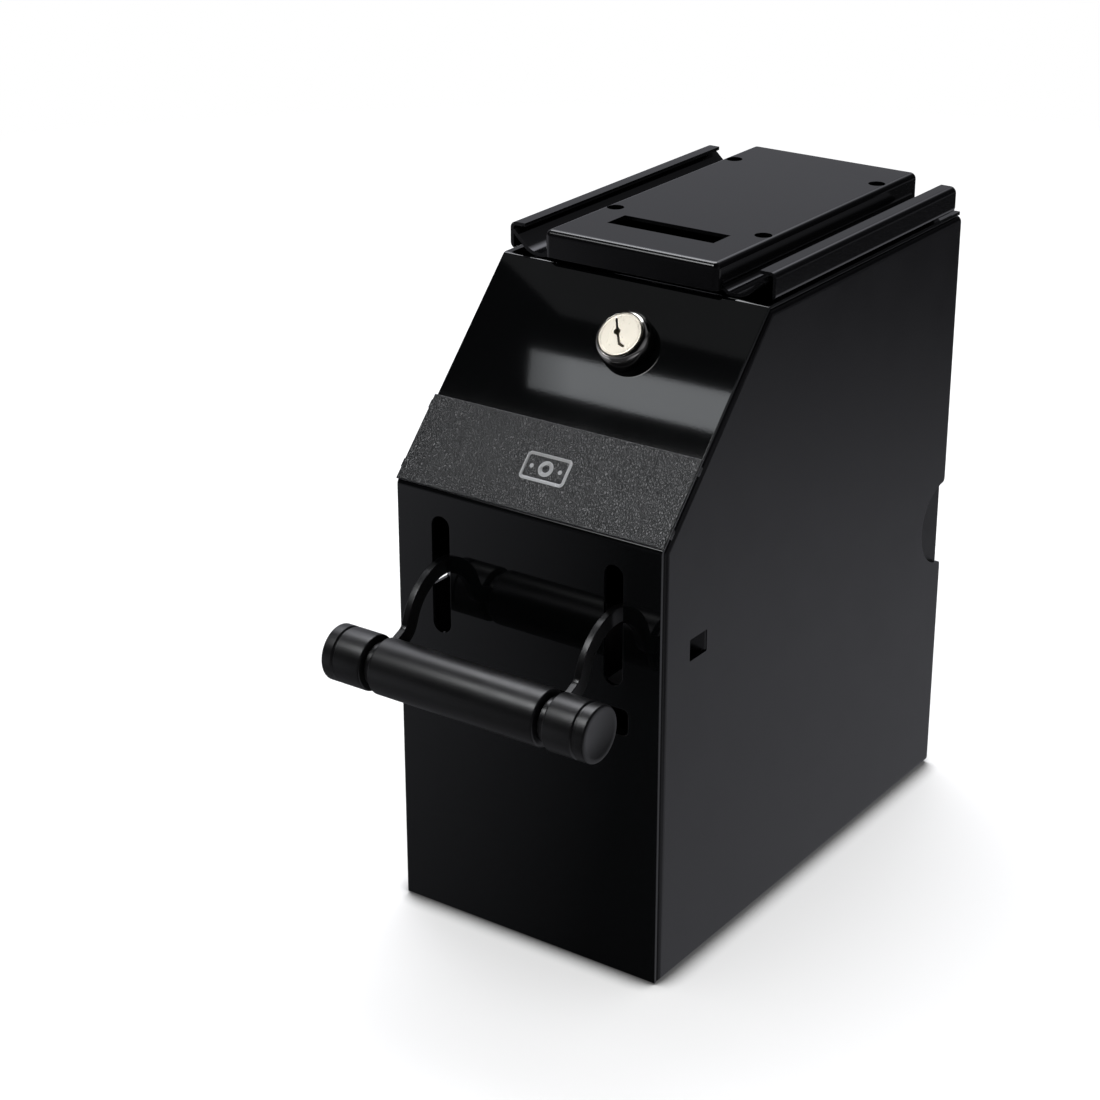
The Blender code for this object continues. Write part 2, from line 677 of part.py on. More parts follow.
def make_pivot_shaft():
    """Round shaft with flats for the arms and grooves for the clips."""
    shaft = rod("pivot_shaft", PIVOT, SHAFT_RADIUS, -SHAFT_HALF_LENGTH, SHAFT_HALF_LENGTH)
    flat_start = ARM_X - ARM_THICKNESS / 2.0 - SEAM
    reach = SHAFT_RADIUS + OVERCUT
    for label, side in sides():
        for name, direction in (("upper", 1.0), ("lower", -1.0)):
            low, high = span(side, flat_start, SHAFT_HALF_LENGTH + OVERCUT)
            bottom, top = sorted((PIVOT_Z + direction * SHAFT_FLAT, PIVOT_Z + direction * reach))
            flat = block("%s_%s_flat_cutter" % (label, name),
                         (low, PIVOT_Y - reach, bottom), (high, PIVOT_Y + reach, top))
            cut(shaft, flat)
        low, high = span(side, clip_groove_x(), clip_groove_x() + GROOVE_WIDTH)
        cut(shaft, tube(label + "_groove_cutter", PIVOT, GROOVE_RADIUS, reach, low, high))
    for label, side in sides():
        cut(shaft, shutter_screw_hole(label + "_shaft_tapping", side))
    return finish(shaft, ZINC_STEEL)


def shutter_screw_hole(name, side):
    """Cutter from the back into the middle of the shaft."""
    end = SHAFT_RADIUS + OVERCUT
    hole = [(0.0, 0.0), (SHUTTER_SCREW_HOLE, 0.0), (SHUTTER_SCREW_HOLE, end), (0.0, end)]
    return place_shutter_screw(turned(name, hole, 16, False), side)


def place_shutter_screw(obj, side):
    """Local Z runs from the middle of the shaft to the back."""
    obj.rotation_euler = (-math.pi / 2.0, 0.0, 0.0)
    obj.location = (side * SHUTTER_SCREW_X, PIVOT_Y, PIVOT_Z)
    return obj


def make_shutter_screw(label, side):
    head = SHUTTER_SCREW_HEAD
    crown = head + SHUTTER_SCREW_HEAD_HEIGHT
    profile = [(0.0, SHUTTER_SCREW_TIP), (SHUTTER_SCREW_RADIUS, SHUTTER_SCREW_TIP),
               (SHUTTER_SCREW_RADIUS, head), (SHUTTER_SCREW_HEAD_RADIUS, head),
               (SHUTTER_SCREW_HEAD_RADIUS, head + SHUTTER_SCREW_RIM),
               (SHUTTER_SCREW_CROWN_RADIUS, crown), (0.0, crown)]
    screw = turned(label + "_shutter_screw", profile, 16, False)
    return finish(place_shutter_screw(screw, side), ZINC_STEEL)


def make_shutter_plate():
    """T-shaped plate hanging from a sleeve on the shaft."""
    half = SHEET / 2.0
    tip = PIVOT_Z - SHUTTER_LENGTH
    sleeve_bore = SHAFT_RADIUS + RUNNING_GAP
    top = PIVOT_Z - sleeve_bore - half
    neck = SHUTTER_NECK_HALF_WIDTH - MM
    wide = SHUTTER_HALF_WIDTH
    outline = [(-wide, tip), (wide, tip), (wide, SHUTTER_SHOULDER_Z), (neck, SHUTTER_SHOULDER_Z),
               (neck, top), (-neck, top), (-neck, SHUTTER_SHOULDER_Z), (-wide, SHUTTER_SHOULDER_Z)]
    plate = tube("shutter_plate", PIVOT, sleeve_bore, sleeve_bore + SHEET,
                 -SHUTTER_NECK_HALF_WIDTH, SHUTTER_NECK_HALF_WIDTH)
    fuse(plate, prism("shutter_blade", "Y", outline, PIVOT_Y - half, PIVOT_Y + half))
    for label, side in sides():
        cut(plate, shutter_screw_hole(label + "_shutter_hole", side))
    return finish(plate, ZINC_STEEL)


def boss_arc(centre, radius, towards):
    """Edge of a round boss, from one side of the band that leaves it to the other."""
    leaving = math.degrees(math.atan2(towards[1] - centre[1], towards[0] - centre[0]))
    half = math.degrees(math.asin(ARM_WIDTH / 2.0 / radius))
    return arc(centre, radius, leaving + half, leaving + 360.0 - half, 28)


def arm_outline():
    """Hub, arched band and eye as one closed outline."""
    line = offset_points([PIVOT, ARM_CROWN, ARM_KNEE, HANDLE], -ARM_WIDTH / 2.0)
    bends = (ARM_ARCH_RADIUS - ARM_WIDTH / 2.0, ARM_KNEE_BEND)
    upper, lower = sheet_faces(line, ARM_WIDTH, bends, 12)
    hub = boss_arc(PIVOT, HUB_RADIUS, ARM_CROWN)
    eye = boss_arc(HANDLE, EYE_RADIUS, ARM_KNEE)
    return hub + upper[1:-1] + eye + lower[-2:0:-1]


def make_lever_arm(label, side):
    low, high = span(side, ARM_X - ARM_THICKNESS / 2.0, ARM_X + ARM_THICKNESS / 2.0)
    arm = prism(label + "_lever_arm", "X", arm_outline(), low, high)
    flats = double_flat(PIVOT, SHAFT_RADIUS + RUNNING_GAP, SHAFT_FLAT + RUNNING_GAP)
    cut(arm, prism(label + "_arm_bore", "X", flats, low - MM, high + MM))
    cut(arm, rod(label + "_eye_bore", HANDLE, TIE_ROD_RADIUS + PRESS_GAP, low - MM, high + MM))
    return finish(arm, HANDLE_BLACK)


def make_return_spring(label, side):
    """Torsion spring round the shaft, between the bearing and the arm, with one leg on the arm."""
    end_x = SPRING_X + SPRING_PITCH * SPRING_TURNS
    points = [(side * SPRING_X, SPRING_RADIUS, -SPRING_SHORT_LEG)]
    for i in range(SPRING_STEPS + 1):
        wound = i / SPRING_STEPS
        angle = math.tau * SPRING_TURNS * wound
        x = SPRING_X + (end_x - SPRING_X) * wound
        points.append((side * x, SPRING_RADIUS * math.cos(angle), SPRING_RADIUS * math.sin(angle)))
    points.append((side * end_x, -SPRING_LONG_LEG, -SPRING_RADIUS))
    curve = bpy.data.curves.new(label + "_return_spring", "CURVE")
    curve.dimensions = "3D"
    curve.bevel_depth = SPRING_WIRE
    curve.bevel_resolution = 2
    curve.use_fill_caps = True
    spline = curve.splines.new("POLY")
    spline.points.add(len(points) - 1)
    for point, place in zip(spline.points, points):
        point.co = (*place, 1.0)
    spring = bpy.data.objects.new(label + "_return_spring", curve)
    spring.location = (0.0, PIVOT_Y, PIVOT_Z)
    bpy.context.collection.objects.link(spring)
    return finish(spring, SPRING_STEEL)


def make_shaft_clip(label, side):
    """Open ring snapped into the groove at the end of the shaft."""
    outer = arc(PIVOT, CLIP_OUTER, CLIP_OPENING, 360.0 - CLIP_OPENING, 24)
    inner = arc(PIVOT, CLIP_INNER, 360.0 - CLIP_OPENING, CLIP_OPENING, 24)
    start = clip_groove_x() + CLIP_PLAY
    low, high = span(side, start, start + CLIP_THICKNESS)
    return finish(prism(label + "_shaft_clip", "X", outer + inner, low, high), SPRING_STEEL)


def make_tie_rod():
    rod_obj = rod("tie_rod", HANDLE, TIE_ROD_RADIUS, -TIE_ROD_HALF_LENGTH, TIE_ROD_HALF_LENGTH)
    return finish(rod_obj, ZINC_STEEL)


def make_grip_tube():
    end = ARM_X - ARM_THICKNESS / 2.0 - SIDE_GAP
    bore = TIE_ROD_RADIUS + PRESS_GAP
    rim = HANDLE_RADIUS - GRIP_EDGE
    profile = [(bore, -end), (rim, -end), (HANDLE_RADIUS, -end + GRIP_EDGE),
               (HANDLE_RADIUS, end - GRIP_EDGE), (rim, end), (bore, end)]
    return finish(turned_on_x("grip_tube", profile, 40, True, HANDLE), HANDLE_BLACK)


def make_knob(label, side):
    """End knob with a shallow ring groove and a blind hole for the tie rod."""
    start = ARM_X + ARM_THICKNESS / 2.0 + SIDE_GAP
    end = HANDLE_HALF_LENGTH
    bore = TIE_ROD_RADIUS + PRESS_GAP
    hole_end = TIE_ROD_HALF_LENGTH + SIDE_GAP
    rim = HANDLE_RADIUS - KNOB_EDGE
    groove = end - KNOB_GROOVE
    depth = KNOB_GROOVE_DEPTH
    profile = [(0.0, end)]
    profile += reversed(arc((rim, end - KNOB_EDGE), KNOB_EDGE, 0.0, 90.0, 2))
    profile += [(HANDLE_RADIUS, groove + depth), (HANDLE_RADIUS - depth, groove),
                (HANDLE_RADIUS, groove - depth), (HANDLE_RADIUS, start + KNOB_EDGE),
                (rim, start), (bore, start), (bore, hole_end), (0.0, hole_end)]
    placed = [(radius, side * x) for radius, x in profile]
    return finish(turned_on_x(label + "_knob", placed, 40, False, HANDLE), HANDLE_BLACK)


# ---------------------------------------------------------------- lock

def make_lock_housing():
    """Threaded barrel with a domed bezel; heights are above the outer face of the slope."""
    bore = PLUG_RADIUS + RUNNING_GAP
    recess = PLUG_FACE_RADIUS + BUSH_GAP
    profile = [(bore, BARREL_BOTTOM), (BARREL_RADIUS, BARREL_BOTTOM), (BARREL_RADIUS, SEAM),
               (BEZEL_RADIUS, SEAM)]
    for across, up in arc((0.0, 0.0), 1.0, 0.0, 70.0, 6):
        profile.append((BEZEL_RADIUS - (1.0 - across) * BEZEL_DOME_WIDTH,
                        BEZEL_HEIGHT - (1.0 - up) * BEZEL_DOME_HEIGHT))
    profile += [(recess + LUG_STEP, BEZEL_HEIGHT), (recess, BEZEL_HEIGHT - PLUG_FACE_EDGE),
                (recess, PLUG_SEAT), (bore, PLUG_SEAT)]
    return finish(turned("lock_housing", profile, 48, True), BRIGHT_NICKEL)


def make_lock_plug():
    """Plug with its key face, a square end for the cam and a tapped hole for its screw."""
    face = BEZEL_HEIGHT + PLUG_FACE_PROUD
    seat = PLUG_SEAT + SEAM
    square_end = cam_bottom() + RUNNING_GAP
    profile = [(0.0, PLUG_BOTTOM), (PLUG_RADIUS, PLUG_BOTTOM), (PLUG_RADIUS, seat),
               (PLUG_FACE_RADIUS, seat), (PLUG_FACE_RADIUS, face - PLUG_FACE_EDGE),
               (PLUG_FACE_RADIUS - PLUG_FACE_EDGE, face), (0.0, face)]
    plug = turned("lock_plug", profile, 48, False)
    half = PLUG_SQUARE / 2.0
    fuse(plug, block("plug_square", (-half, -half, square_end), (half, half, PLUG_BOTTOM + MM)))
    key_end = face - KEYWAY_DEPTH
    cut(plug, block("keyway_cutter", (-KEYWAY_HALF_WIDTH, -KEYWAY_HALF_HEIGHT, key_end),
                    (KEYWAY_HALF_WIDTH, KEYWAY_HALF_HEIGHT, face + MM)))
    keyhole = circle((0.0, 0.0), KEYWAY_ROUND, 20)
    cut(plug, prism("keyhole_cutter", "Z", keyhole, key_end - PRESS_GAP, face + MM))
    tapping = circle((0.0, 0.0), PLUG_TAPPING_RADIUS, 16)
    cut(plug, prism("plug_tapping", "Z", tapping, square_end - MM, PLUG_TAPPING_TOP))
    return finish(plug, SATIN_NICKEL)


def cam_bottom():
    return -CAM_DEPTH - CAM_THICKNESS / 2.0


def make_lock_nut():
    top = -SHEET - SEAM
    bottom = top - NUT_THICKNESS
    nut = prism("lock_nut", "Z", circle((0.0, 0.0), NUT_RADIUS, 6), bottom, top)
    bore = circle((0.0, 0.0), BARREL_RADIUS + PRESS_GAP, 40)
    cut(nut, prism("nut_bore", "Z", bore, bottom - MM, top + MM))
    return finish(nut, ZINC_STEEL)


def make_lock_cam():
    """Long flat cam that points to the left when the lock is open."""
    half = CAM_WIDTH / 2.0
    tip = -CAM_REACH + CAM_CORNER
    outline = arc((0.0, 0.0), CAM_BOSS_RADIUS, -120.0, 120.0, 16)
    outline.append((-CAM_NECK, half))
    outline += arc((tip, half - CAM_CORNER), CAM_CORNER, 90.0, 180.0, 4)
    outline += arc((tip, -half + CAM_CORNER), CAM_CORNER, 180.0, 270.0, 4)
    outline.append((-CAM_NECK, -half))
    low = cam_bottom()
    high = low + CAM_THICKNESS
    cam = prism("lock_cam", "Z", outline, low, high)
    hole = PLUG_SQUARE / 2.0 + PRESS_GAP
    cut(cam, block("cam_square_cutter", (-hole, -hole, low - MM), (hole, hole, high + MM)))
    return finish(cam, ZINC_STEEL)


def make_cam_washer():
    top = cam_bottom() - PRESS_GAP
    bottom = top - WASHER_THICKNESS
    profile = [(WASHER_INNER, bottom), (WASHER_OUTER, bottom), (WASHER_OUTER, top), (WASHER_INNER, top)]
    return finish(turned("cam_washer", profile, 24, True), ZINC_STEEL)


def make_cam_screw():
    head = cam_bottom() - 2.0 * PRESS_GAP - WASHER_THICKNESS
    crown = head - CAM_SCREW_HEAD_HEIGHT
    profile = [(0.0, crown), (CAM_SCREW_CROWN_RADIUS, crown),
               (CAM_SCREW_HEAD_RADIUS, head - CAM_SCREW_RIM), (CAM_SCREW_HEAD_RADIUS, head),
               (CAM_SCREW_RADIUS, head), (CAM_SCREW_RADIUS, CAM_SCREW_TOP), (0.0, CAM_SCREW_TOP)]
    return finish(turned("cam_screw", profile, 20, False), ZINC_STEEL)


# ---------------------------------------------------------------- bracket and tray

def make_mount_bracket():
    """Hat-shaped bracket screwed under a counter; its wings run under the lips of the rails."""
    low = (-BRACKET_HALF_WIDTH, BRACKET_FRONT, BRACKET_STOP_BOTTOM)
    high = (BRACKET_HALF_WIDTH, BRACKET_REAR, BRACKET_TOP)
    bracket = block("mount_bracket", low, high)
    bevel = bracket.modifiers.new("bent_edges", "BEVEL")
    bevel.width = BEND + SHEET
    bevel.segments = BEND_STEPS
    bevel.limit_method = "ANGLE"
    inner_x = BRACKET_HALF_WIDTH - SHEET
    wide = inner_x + OVERCUT
    under = BRACKET_STOP_BOTTOM - OVERCUT
    cut(bracket, block("bracket_hollow", (-inner_x, BRACKET_FRONT + SHEET, under),
                       (inner_x, BRACKET_REAR - SHEET, BRACKET_TOP - SHEET)))
    cut(bracket, block("bracket_under_cutter", (-wide, BRACKET_FRONT - OVERCUT, under),
                       (wide, BRACKET_REAR - SHEET, BRACKET_SKIRT_BOTTOM)))
    cut(bracket, block("bracket_wall_cutter",
                       (-wide, WING_FRONT - WING_RELIEF, BRACKET_SKIRT_BOTTOM - MM),
                       (wide, WING_REAR + WING_RELIEF, WALL_BOTTOM)))
    for label, side in sides():
        fuse(bracket, make_wing(label, side))
        for number, y in enumerate(BRACKET_HOLE_Y):
            hole = circle((side * BRACKET_HOLE_X, y), BRACKET_HOLE_RADIUS, 24)
            cut(bracket, bracket_top_cutter("%s_bracket_hole_%d" % (label, number), hole))
    window = rectangle(*BRACKET_WINDOW_X, *BRACKET_WINDOW_Y)
    cut(bracket, bracket_top_cutter("bracket_window", window))
    return finish(bracket, SATIN_BLACK)


def make_wing(label, side):
    """Strip that leaves the foot of the bracket's wall and curls up under a rail."""
    flat = BODY_HEIGHT + SEAM + SHEET
    wall = side * (BRACKET_HALF_WIDTH - WING_INSET)
    line = [(side * WING_TIP_X, WING_TIP_Z), (side * WING_FLAT_X, flat),
            (wall, flat), (wall, WALL_BOTTOM + MM)]
    return sheet(label + "_wing", "Y", line, side * SHEET, WING_BENDS, WING_FRONT, WING_REAR)


def bracket_top_cutter(name, outline):
    return prism(name, "Z", outline, BRACKET_TOP - 2.0 * SHEET, BRACKET_TOP + SHEET)


def make_note_tray():
    """Open-topped store that slides out of the back; its front edge follows the slope."""
    front = body_profile(TRAY_SLOPE_GAP, BODY_DEPTH)
    foot = Vector(front[2])
    crown = Vector(front[1])
    lean = (crown.x - foot.x) / (crown.y - foot.y)
    front_top = (TRAY_FRONT, foot.y + (TRAY_FRONT - foot.x) / lean)
    back_top = (foot.x + (TRAY_TOP - foot.y) * lean, TRAY_TOP)
    outline = [(TRAY_FRONT, TRAY_BOTTOM), (BODY_DEPTH, TRAY_BOTTOM), (BODY_DEPTH, TRAY_TOP),
               back_top, front_top]
    tray = prism("note_tray", "X", outline, -TRAY_HALF_WIDTH, TRAY_HALF_WIDTH)
    cut(tray, block("tray_hollow",
                    (-TRAY_HALF_WIDTH + SHEET, TRAY_FRONT + SHEET, TRAY_BOTTOM + SHEET),
                    (TRAY_HALF_WIDTH - SHEET, BODY_DEPTH - SHEET, BODY_HEIGHT + OVERCUT)))
    cut(tray, block("tray_mouth",
                    (-TRAY_HALF_WIDTH + SHEET, TRAY_FRONT - OVERCUT, TRAY_FRONT_WALL_TOP),
                    (TRAY_HALF_WIDTH - SHEET, TRAY_FRONT + OVERCUT, BODY_HEIGHT + OVERCUT)))
    for label, side in sides():
        cut(tray, rivet_hole(label + "_tray_rivet_hole", side))
    return finish(tray, ZINC_STEEL)


def rivet_centre():
    return ((LOCK_BAR_FRONT + LOCK_BAR_REAR) / 2.0, LOCK_BAR_TOP - RIVET_BELOW_TOP)


def rivet_hole(name, side):
    low, high = span(side, TRAY_HALF_WIDTH - OVERCUT, TRAY_HALF_WIDTH + OVERCUT)
    return rod(name, rivet_centre(), RIVET_HOLE, low, high, 16)


def make_lock_bar():
    """Strip across the top of the tray, slotted for the cam, with a tab riveted to each wall."""
    wall = TRAY_HALF_WIDTH - SHEET - SEAM
    bottom = LOCK_BAR_TOP - LOCK_BAR_TAB
    line = [(wall, bottom), (wall, LOCK_BAR_TOP), (-wall, LOCK_BAR_TOP), (-wall, bottom)]
    bar = sheet("tray_lock_bar", "Y", line, SHEET, (BEND, BEND), LOCK_BAR_FRONT, LOCK_BAR_REAR)
    slot = rounded_rectangle(*LOCK_BAR_SLOT_X, *LOCK_BAR_SLOT_Y, SLOT_CORNER)
    cut(bar, prism("lock_bar_slot", "Z", slot, LOCK_BAR_TOP - 2.0 * SHEET, LOCK_BAR_TOP + SHEET))
    for label, side in sides():
        cut(bar, rivet_hole(label + "_bar_rivet_hole", side))
    return finish(bar, ZINC_STEEL)


def make_bar_rivet(label, side):
    """Rivet whose shank ends flush with the outside of the tray wall."""
    outer = TRAY_HALF_WIDTH
    head = TRAY_HALF_WIDTH - 2.0 * SHEET - 2.0 * SEAM
    profile = [(0.0, outer), (RIVET_RADIUS, outer), (RIVET_RADIUS, head)]
    for across, up in arc((0.0, 0.0), 1.0, 0.0, 90.0, 3):
        profile.append((RIVET_HEAD_RADIUS * max(across, 0.0), head - RIVET_HEAD_HEIGHT * up))
    placed = [(radius, side * x) for radius, x in profile]
    return finish(turned_on_x(label + "_bar_rivet", placed, 16, False, rivet_centre()), ZINC_STEEL)


# ---------------------------------------------------------------- assembly

def build_body():
    make_wrap_shell()
    make_base_panel()
    make_name_plate()
    make_note_chute()
    for label, side in sides():
        make_side_pan(label, side)
        make_rail(label, side)
        make_pivot_bracket(label, side)
        make_pivot_bush(label, side)


def build_lever():
    pieces = [make_pivot_shaft(), make_shutter_plate(), make_tie_rod(), make_grip_tube()]
    for label, side in sides():
        pieces.append(make_lever_arm(label, side))
        pieces.append(make_return_spring(label, side))
        pieces.append(make_shaft_clip(label, side))
        pieces.append(make_knob(label, side))
        pieces.append(make_shutter_screw(label, side))
    carry(axis_empty("lever_axis", (0.0, PIVOT_Y, PIVOT_Z)), pieces)


def build_lock():
    """The fixed and the turning half of the lock, each under an empty on the lock's axis."""
    centre = SLOPE_FOOT + SLOPE_UP * LOCK_ALONG_SLOPE + Vector((LOCK_X, 0.0, 0.0))
    fixed = (make_lock_housing(), make_lock_nut())
    turning = (make_lock_plug(), make_lock_cam(), make_cam_washer(), make_cam_screw())
    for name, pieces in (("lock_seat", fixed), ("lock_axis", turning)):
        axis = axis_empty(name, centre, (SLOPE_ANGLE, 0.0, 0.0))
        for piece in pieces:
            piece.parent = axis
            for modifier in piece.modifiers:
                modifier.object.parent = axis


def build_bracket_and_tray():
    carry(axis_empty("bracket_axis", (0.0, BRACKET_FRONT, BODY_HEIGHT)), [make_mount_bracket()])
    tray = [make_note_tray(), make_lock_bar()]
    for label, side in sides():
        tray.append(make_bar_rivet(label, side))
    carry(axis_empty("tray_axis", (0.0, TRAY_FRONT, TRAY_BOTTOM)), tray)


def move_to_origin():
    """Move everything forwards until the origin is under the middle of the depth."""
    middle = (FRONTMOST + BRACKET_REAR) / 2.0
    for obj in bpy.data.objects:
        if obj.parent is None:
            obj.location.y -= middle


def main():
    for obj in list(bpy.data.objects):
        bpy.data.objects.remove(obj, do_unlink=True)
    build_body()
    build_lever()
    build_lock()
    build_bracket_and_tray()
    move_to_origin()


main()
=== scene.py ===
import json
import math

import bmesh
import bpy
from mathutils import Matrix, Vector, noise


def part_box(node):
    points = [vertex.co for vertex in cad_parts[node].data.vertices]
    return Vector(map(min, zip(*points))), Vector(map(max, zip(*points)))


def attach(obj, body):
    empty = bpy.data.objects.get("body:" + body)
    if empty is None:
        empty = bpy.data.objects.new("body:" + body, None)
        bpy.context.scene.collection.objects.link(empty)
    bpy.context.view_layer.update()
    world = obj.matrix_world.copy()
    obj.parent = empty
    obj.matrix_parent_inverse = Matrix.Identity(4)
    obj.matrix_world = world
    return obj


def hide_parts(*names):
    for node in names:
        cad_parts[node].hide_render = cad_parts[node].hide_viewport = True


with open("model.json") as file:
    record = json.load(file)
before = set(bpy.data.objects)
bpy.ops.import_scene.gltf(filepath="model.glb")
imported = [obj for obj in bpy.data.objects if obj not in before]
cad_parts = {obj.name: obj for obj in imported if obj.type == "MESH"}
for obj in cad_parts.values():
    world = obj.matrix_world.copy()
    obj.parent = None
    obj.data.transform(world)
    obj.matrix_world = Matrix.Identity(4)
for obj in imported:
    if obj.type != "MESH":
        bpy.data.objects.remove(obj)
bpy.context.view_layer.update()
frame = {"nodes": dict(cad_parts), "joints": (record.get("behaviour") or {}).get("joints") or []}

MM = 0.001

# Places read from the frame
SHELL_LOW, SHELL_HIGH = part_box("wrap_shell")
PAN_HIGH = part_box("right_side_pan")[1]
RAIL_LOW, RAIL_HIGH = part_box("right_rail")
BRACKET_LOW, BRACKET_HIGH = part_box("mount_bracket")
PLATE_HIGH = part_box("name_plate")[1]
GRIP_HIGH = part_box("grip_tube")[1]
KNOB_LOW, KNOB_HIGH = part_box("right_knob")
TRAY_LOW, TRAY_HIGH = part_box("note_tray")
BAR_LOW, BAR_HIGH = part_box("tray_lock_bar")
JOINTS = {joint["name"]: joint for joint in frame["joints"]}

FRONT = SHELL_LOW.y
BODY_HALF_WIDTH = PAN_HIGH.x
BODY_DEPTH = PAN_HIGH.y - FRONT
BODY_HEIGHT = SHELL_HIGH.z
SHELL_HALF_WIDTH = SHELL_HIGH.x
SHELL_BOTTOM = SHELL_LOW.z
FRONT_HEIGHT = 151.8 * MM
SLOPE_DEPTH = 58.9 * MM
SHEET = 1.2 * MM
SEAM = 0.3 * MM
BEND = 1.0 * MM
FLANGE = 10.5 * MM
OVERCUT = 5.0 * MM
SHEET_EDGE = 0.16 * MM
PAN_EDGE = 0.18 * MM
THICK_EDGE = 0.3 * MM

# Openings in the body
LEVER_SLOT_X = 33.2 * MM
LEVER_SLOT_HALF = 3.5 * MM
LEVER_SLOT_Z = (103.0 * MM, 143.6 * MM)
MOUTH_HALF_WIDTH = 39.0 * MM
MOUTH_Z = (86.5 * MM, 95.5 * MM)
MOUTH_CORNER = 2.0 * MM
THUMB_Z = 98.2 * MM
THUMB_RADIUS = 15.5 * MM
THUMB_LIP = 1.6 * MM
WINDOW_Y = (16.2 * MM, 26.1 * MM)
WINDOW_Z = (109.5 * MM, 116.9 * MM)
WINDOW_CORNER = 0.4 * MM
TAB_ANGLE = math.radians(50.0)
TAB_THICKNESS = 1.0 * MM
TAB_ROOT = 3.0 * MM
TAB_SINK = 0.1 * MM
TAB_CLEARANCE = 0.4 * MM
DECK_SLOT_X = (-33.5 * MM, 16.5 * MM)
DECK_SLOT_Y = (66.0 * MM, 74.5 * MM)
SLOT_CORNER = 1.5 * MM

# Name plate, rails and bracket
PLATE_SPAN = (0.9 * MM, 31.6 * MM)
PLATE_HALF_WIDTH = 50.9 * MM
PLATE_GAP = 0.2 * MM
PLATE_THICKNESS = 0.6 * MM
PLATE_EDGE = 0.35 * MM
PLATE_ROUNDING = ((0.20 * MM, 0.05 * MM), (0.31 * MM, 0.14 * MM), (PLATE_EDGE, 0.28 * MM))
GRAIN_STEP = 0.28 * MM
GRAIN_PITCH = 1150.0
GRAIN_DEPTH = 0.022 * MM
GRAIN_SWELL = 0.008 * MM
GRAIN_SEED = 1
GRAIN_DRIFT = 0.35 * MM
MARK_CENTRE = (0.4 * MM, 16.2 * MM)
MARK_SIZE = (17.0 * MM, 9.6 * MM)
MARK_LINE = 1.1 * MM
MARK_CORNER = 1.6 * MM
MARK_INNER_CORNER = 0.7 * MM
MARK_RING = (2.7 * MM, 1.3 * MM)
MARK_SPOT = 0.75 * MM
MARK_SPOT_INSET = 3.1 * MM
MARK_LIFT = 0.01 * MM
MARK_THICKNESS = 0.05 * MM
LUG_PLACES = (6.5 * MM, 28.0 * MM)
LUG_HALF = 1.5 * MM
LUG_EDGE = 0.15 * MM
LUG_DROP = 0.1 * MM
RAIL_FOOT_X = RAIL_LOW.x
RAIL_LIP_X = 44.6 * MM
RAIL_SETBACK = 14.0 * MM
HOLE_RADIUS = 2.9 * MM
HOLE_X = 28.4 * MM
HOLE_Y = (91.4 * MM, 166.5 * MM)
BRACKET_HALF_WIDTH = 32.9 * MM
BRACKET_WINDOW_X = (-20.5 * MM, 20.0 * MM)
BRACKET_WINDOW_Y = (74.7 * MM, 85.2 * MM)
SKIRT_BOTTOM = 215.4 * MM
WALL_BOTTOM = 219.0 * MM
WING_FLAT_X = 40.2 * MM
WING_TIP_Z = 221.3 * MM
WING_Y = (60.0 * MM, 184.0 * MM)
WING_BENDS = (7.0 * MM, 3.4 * MM)
WING_RELIEF = 0.5 * MM

# Tray
TRAY_SLOPE_GAP = 4.0 * MM
TRAY_FRONT_WALL = 58.0 * MM
RIVET_BELOW_TOP = 5.4 * MM
RIVET_HOLE = 1.8 * MM

# Lever
ARM_X = LEVER_SLOT_X
ARM_THICKNESS = 2.4 * MM
ARM_WIDTH = 5.4 * MM
ARM_ARCH_RADIUS = 18.4 * MM
ARM_CROWN = (-4.9 * MM, 142.5 * MM)
ARM_KNEE = (-17.9 * MM, 110.3 * MM)
ARM_KNEE_BEND = 3.0 * MM
HUB_RADIUS = 8.0 * MM
EYE_RADIUS = 7.2 * MM
SHAFT_RADIUS = 4.0 * MM
SHAFT_FLAT = 3.3 * MM
TIE_ROD_BORE = 3.2 * MM
RUNNING_GAP = 0.15 * MM
GRIP_EDGE = 0.8 * MM
KNOB_EDGE = 0.7 * MM
KNOB_GROOVE = 4.4 * MM
GROOVE_HALF = 0.55 * MM
GROOVE_DEPTH = 0.55 * MM
GROOVE_FLOOR_HALF = 0.2 * MM
GROOVE_EDGE = 0.1 * MM
GROOVE_LEAD = 0.12 * MM
KNOB_DISH = 0.12 * MM
KNOB_DISH_RIM = (2.2 * MM, 1.9 * MM)
KNOB_HOLE_END = 45.4 * MM

# Lock, heights above the outer face of the slope
BEZEL_RADIUS = 9.7 * MM
BEZEL_HEIGHT = 6.4 * MM
BEZEL_DOME = (2.2 * MM, 4.4 * MM)
BEZEL_EDGE = 0.25 * MM
BEZEL_LIP = 0.15 * MM
BARREL_RADIUS = 8.0 * MM
BARREL_END = -6.6 * MM
BARREL_LEAD = 0.4 * MM
THREAD_TOP = -0.6 * MM
THREAD_PITCH = 0.7 * MM
THREAD_DEPTH = 0.3 * MM
PLUG_RADIUS = 5.5 * MM
PLUG_FACE_RADIUS = 7.45 * MM
PLUG_FACE = 6.8 * MM
PLUG_SEAT = 3.8 * MM
PLUG_EDGE = 0.07 * MM
PLUG_FACE_GAP = 0.25 * MM
PLUG_FACE_EDGE = 0.3 * MM
PLUG_RIM = (0.9 * MM, 1.0 * MM)
PLUG_RIM_STEP = 0.08 * MM
PLUG_END = -6.9 * MM
PLUG_SQUARE = 7.0 * MM
PLUG_SQUARE_END = -9.6 * MM
TAPPING_RADIUS = 1.75 * MM
TAPPING_END = -3.0 * MM
KEY_ANGLE = math.radians(30.0)
KEY_DEPTH = 4.5 * MM

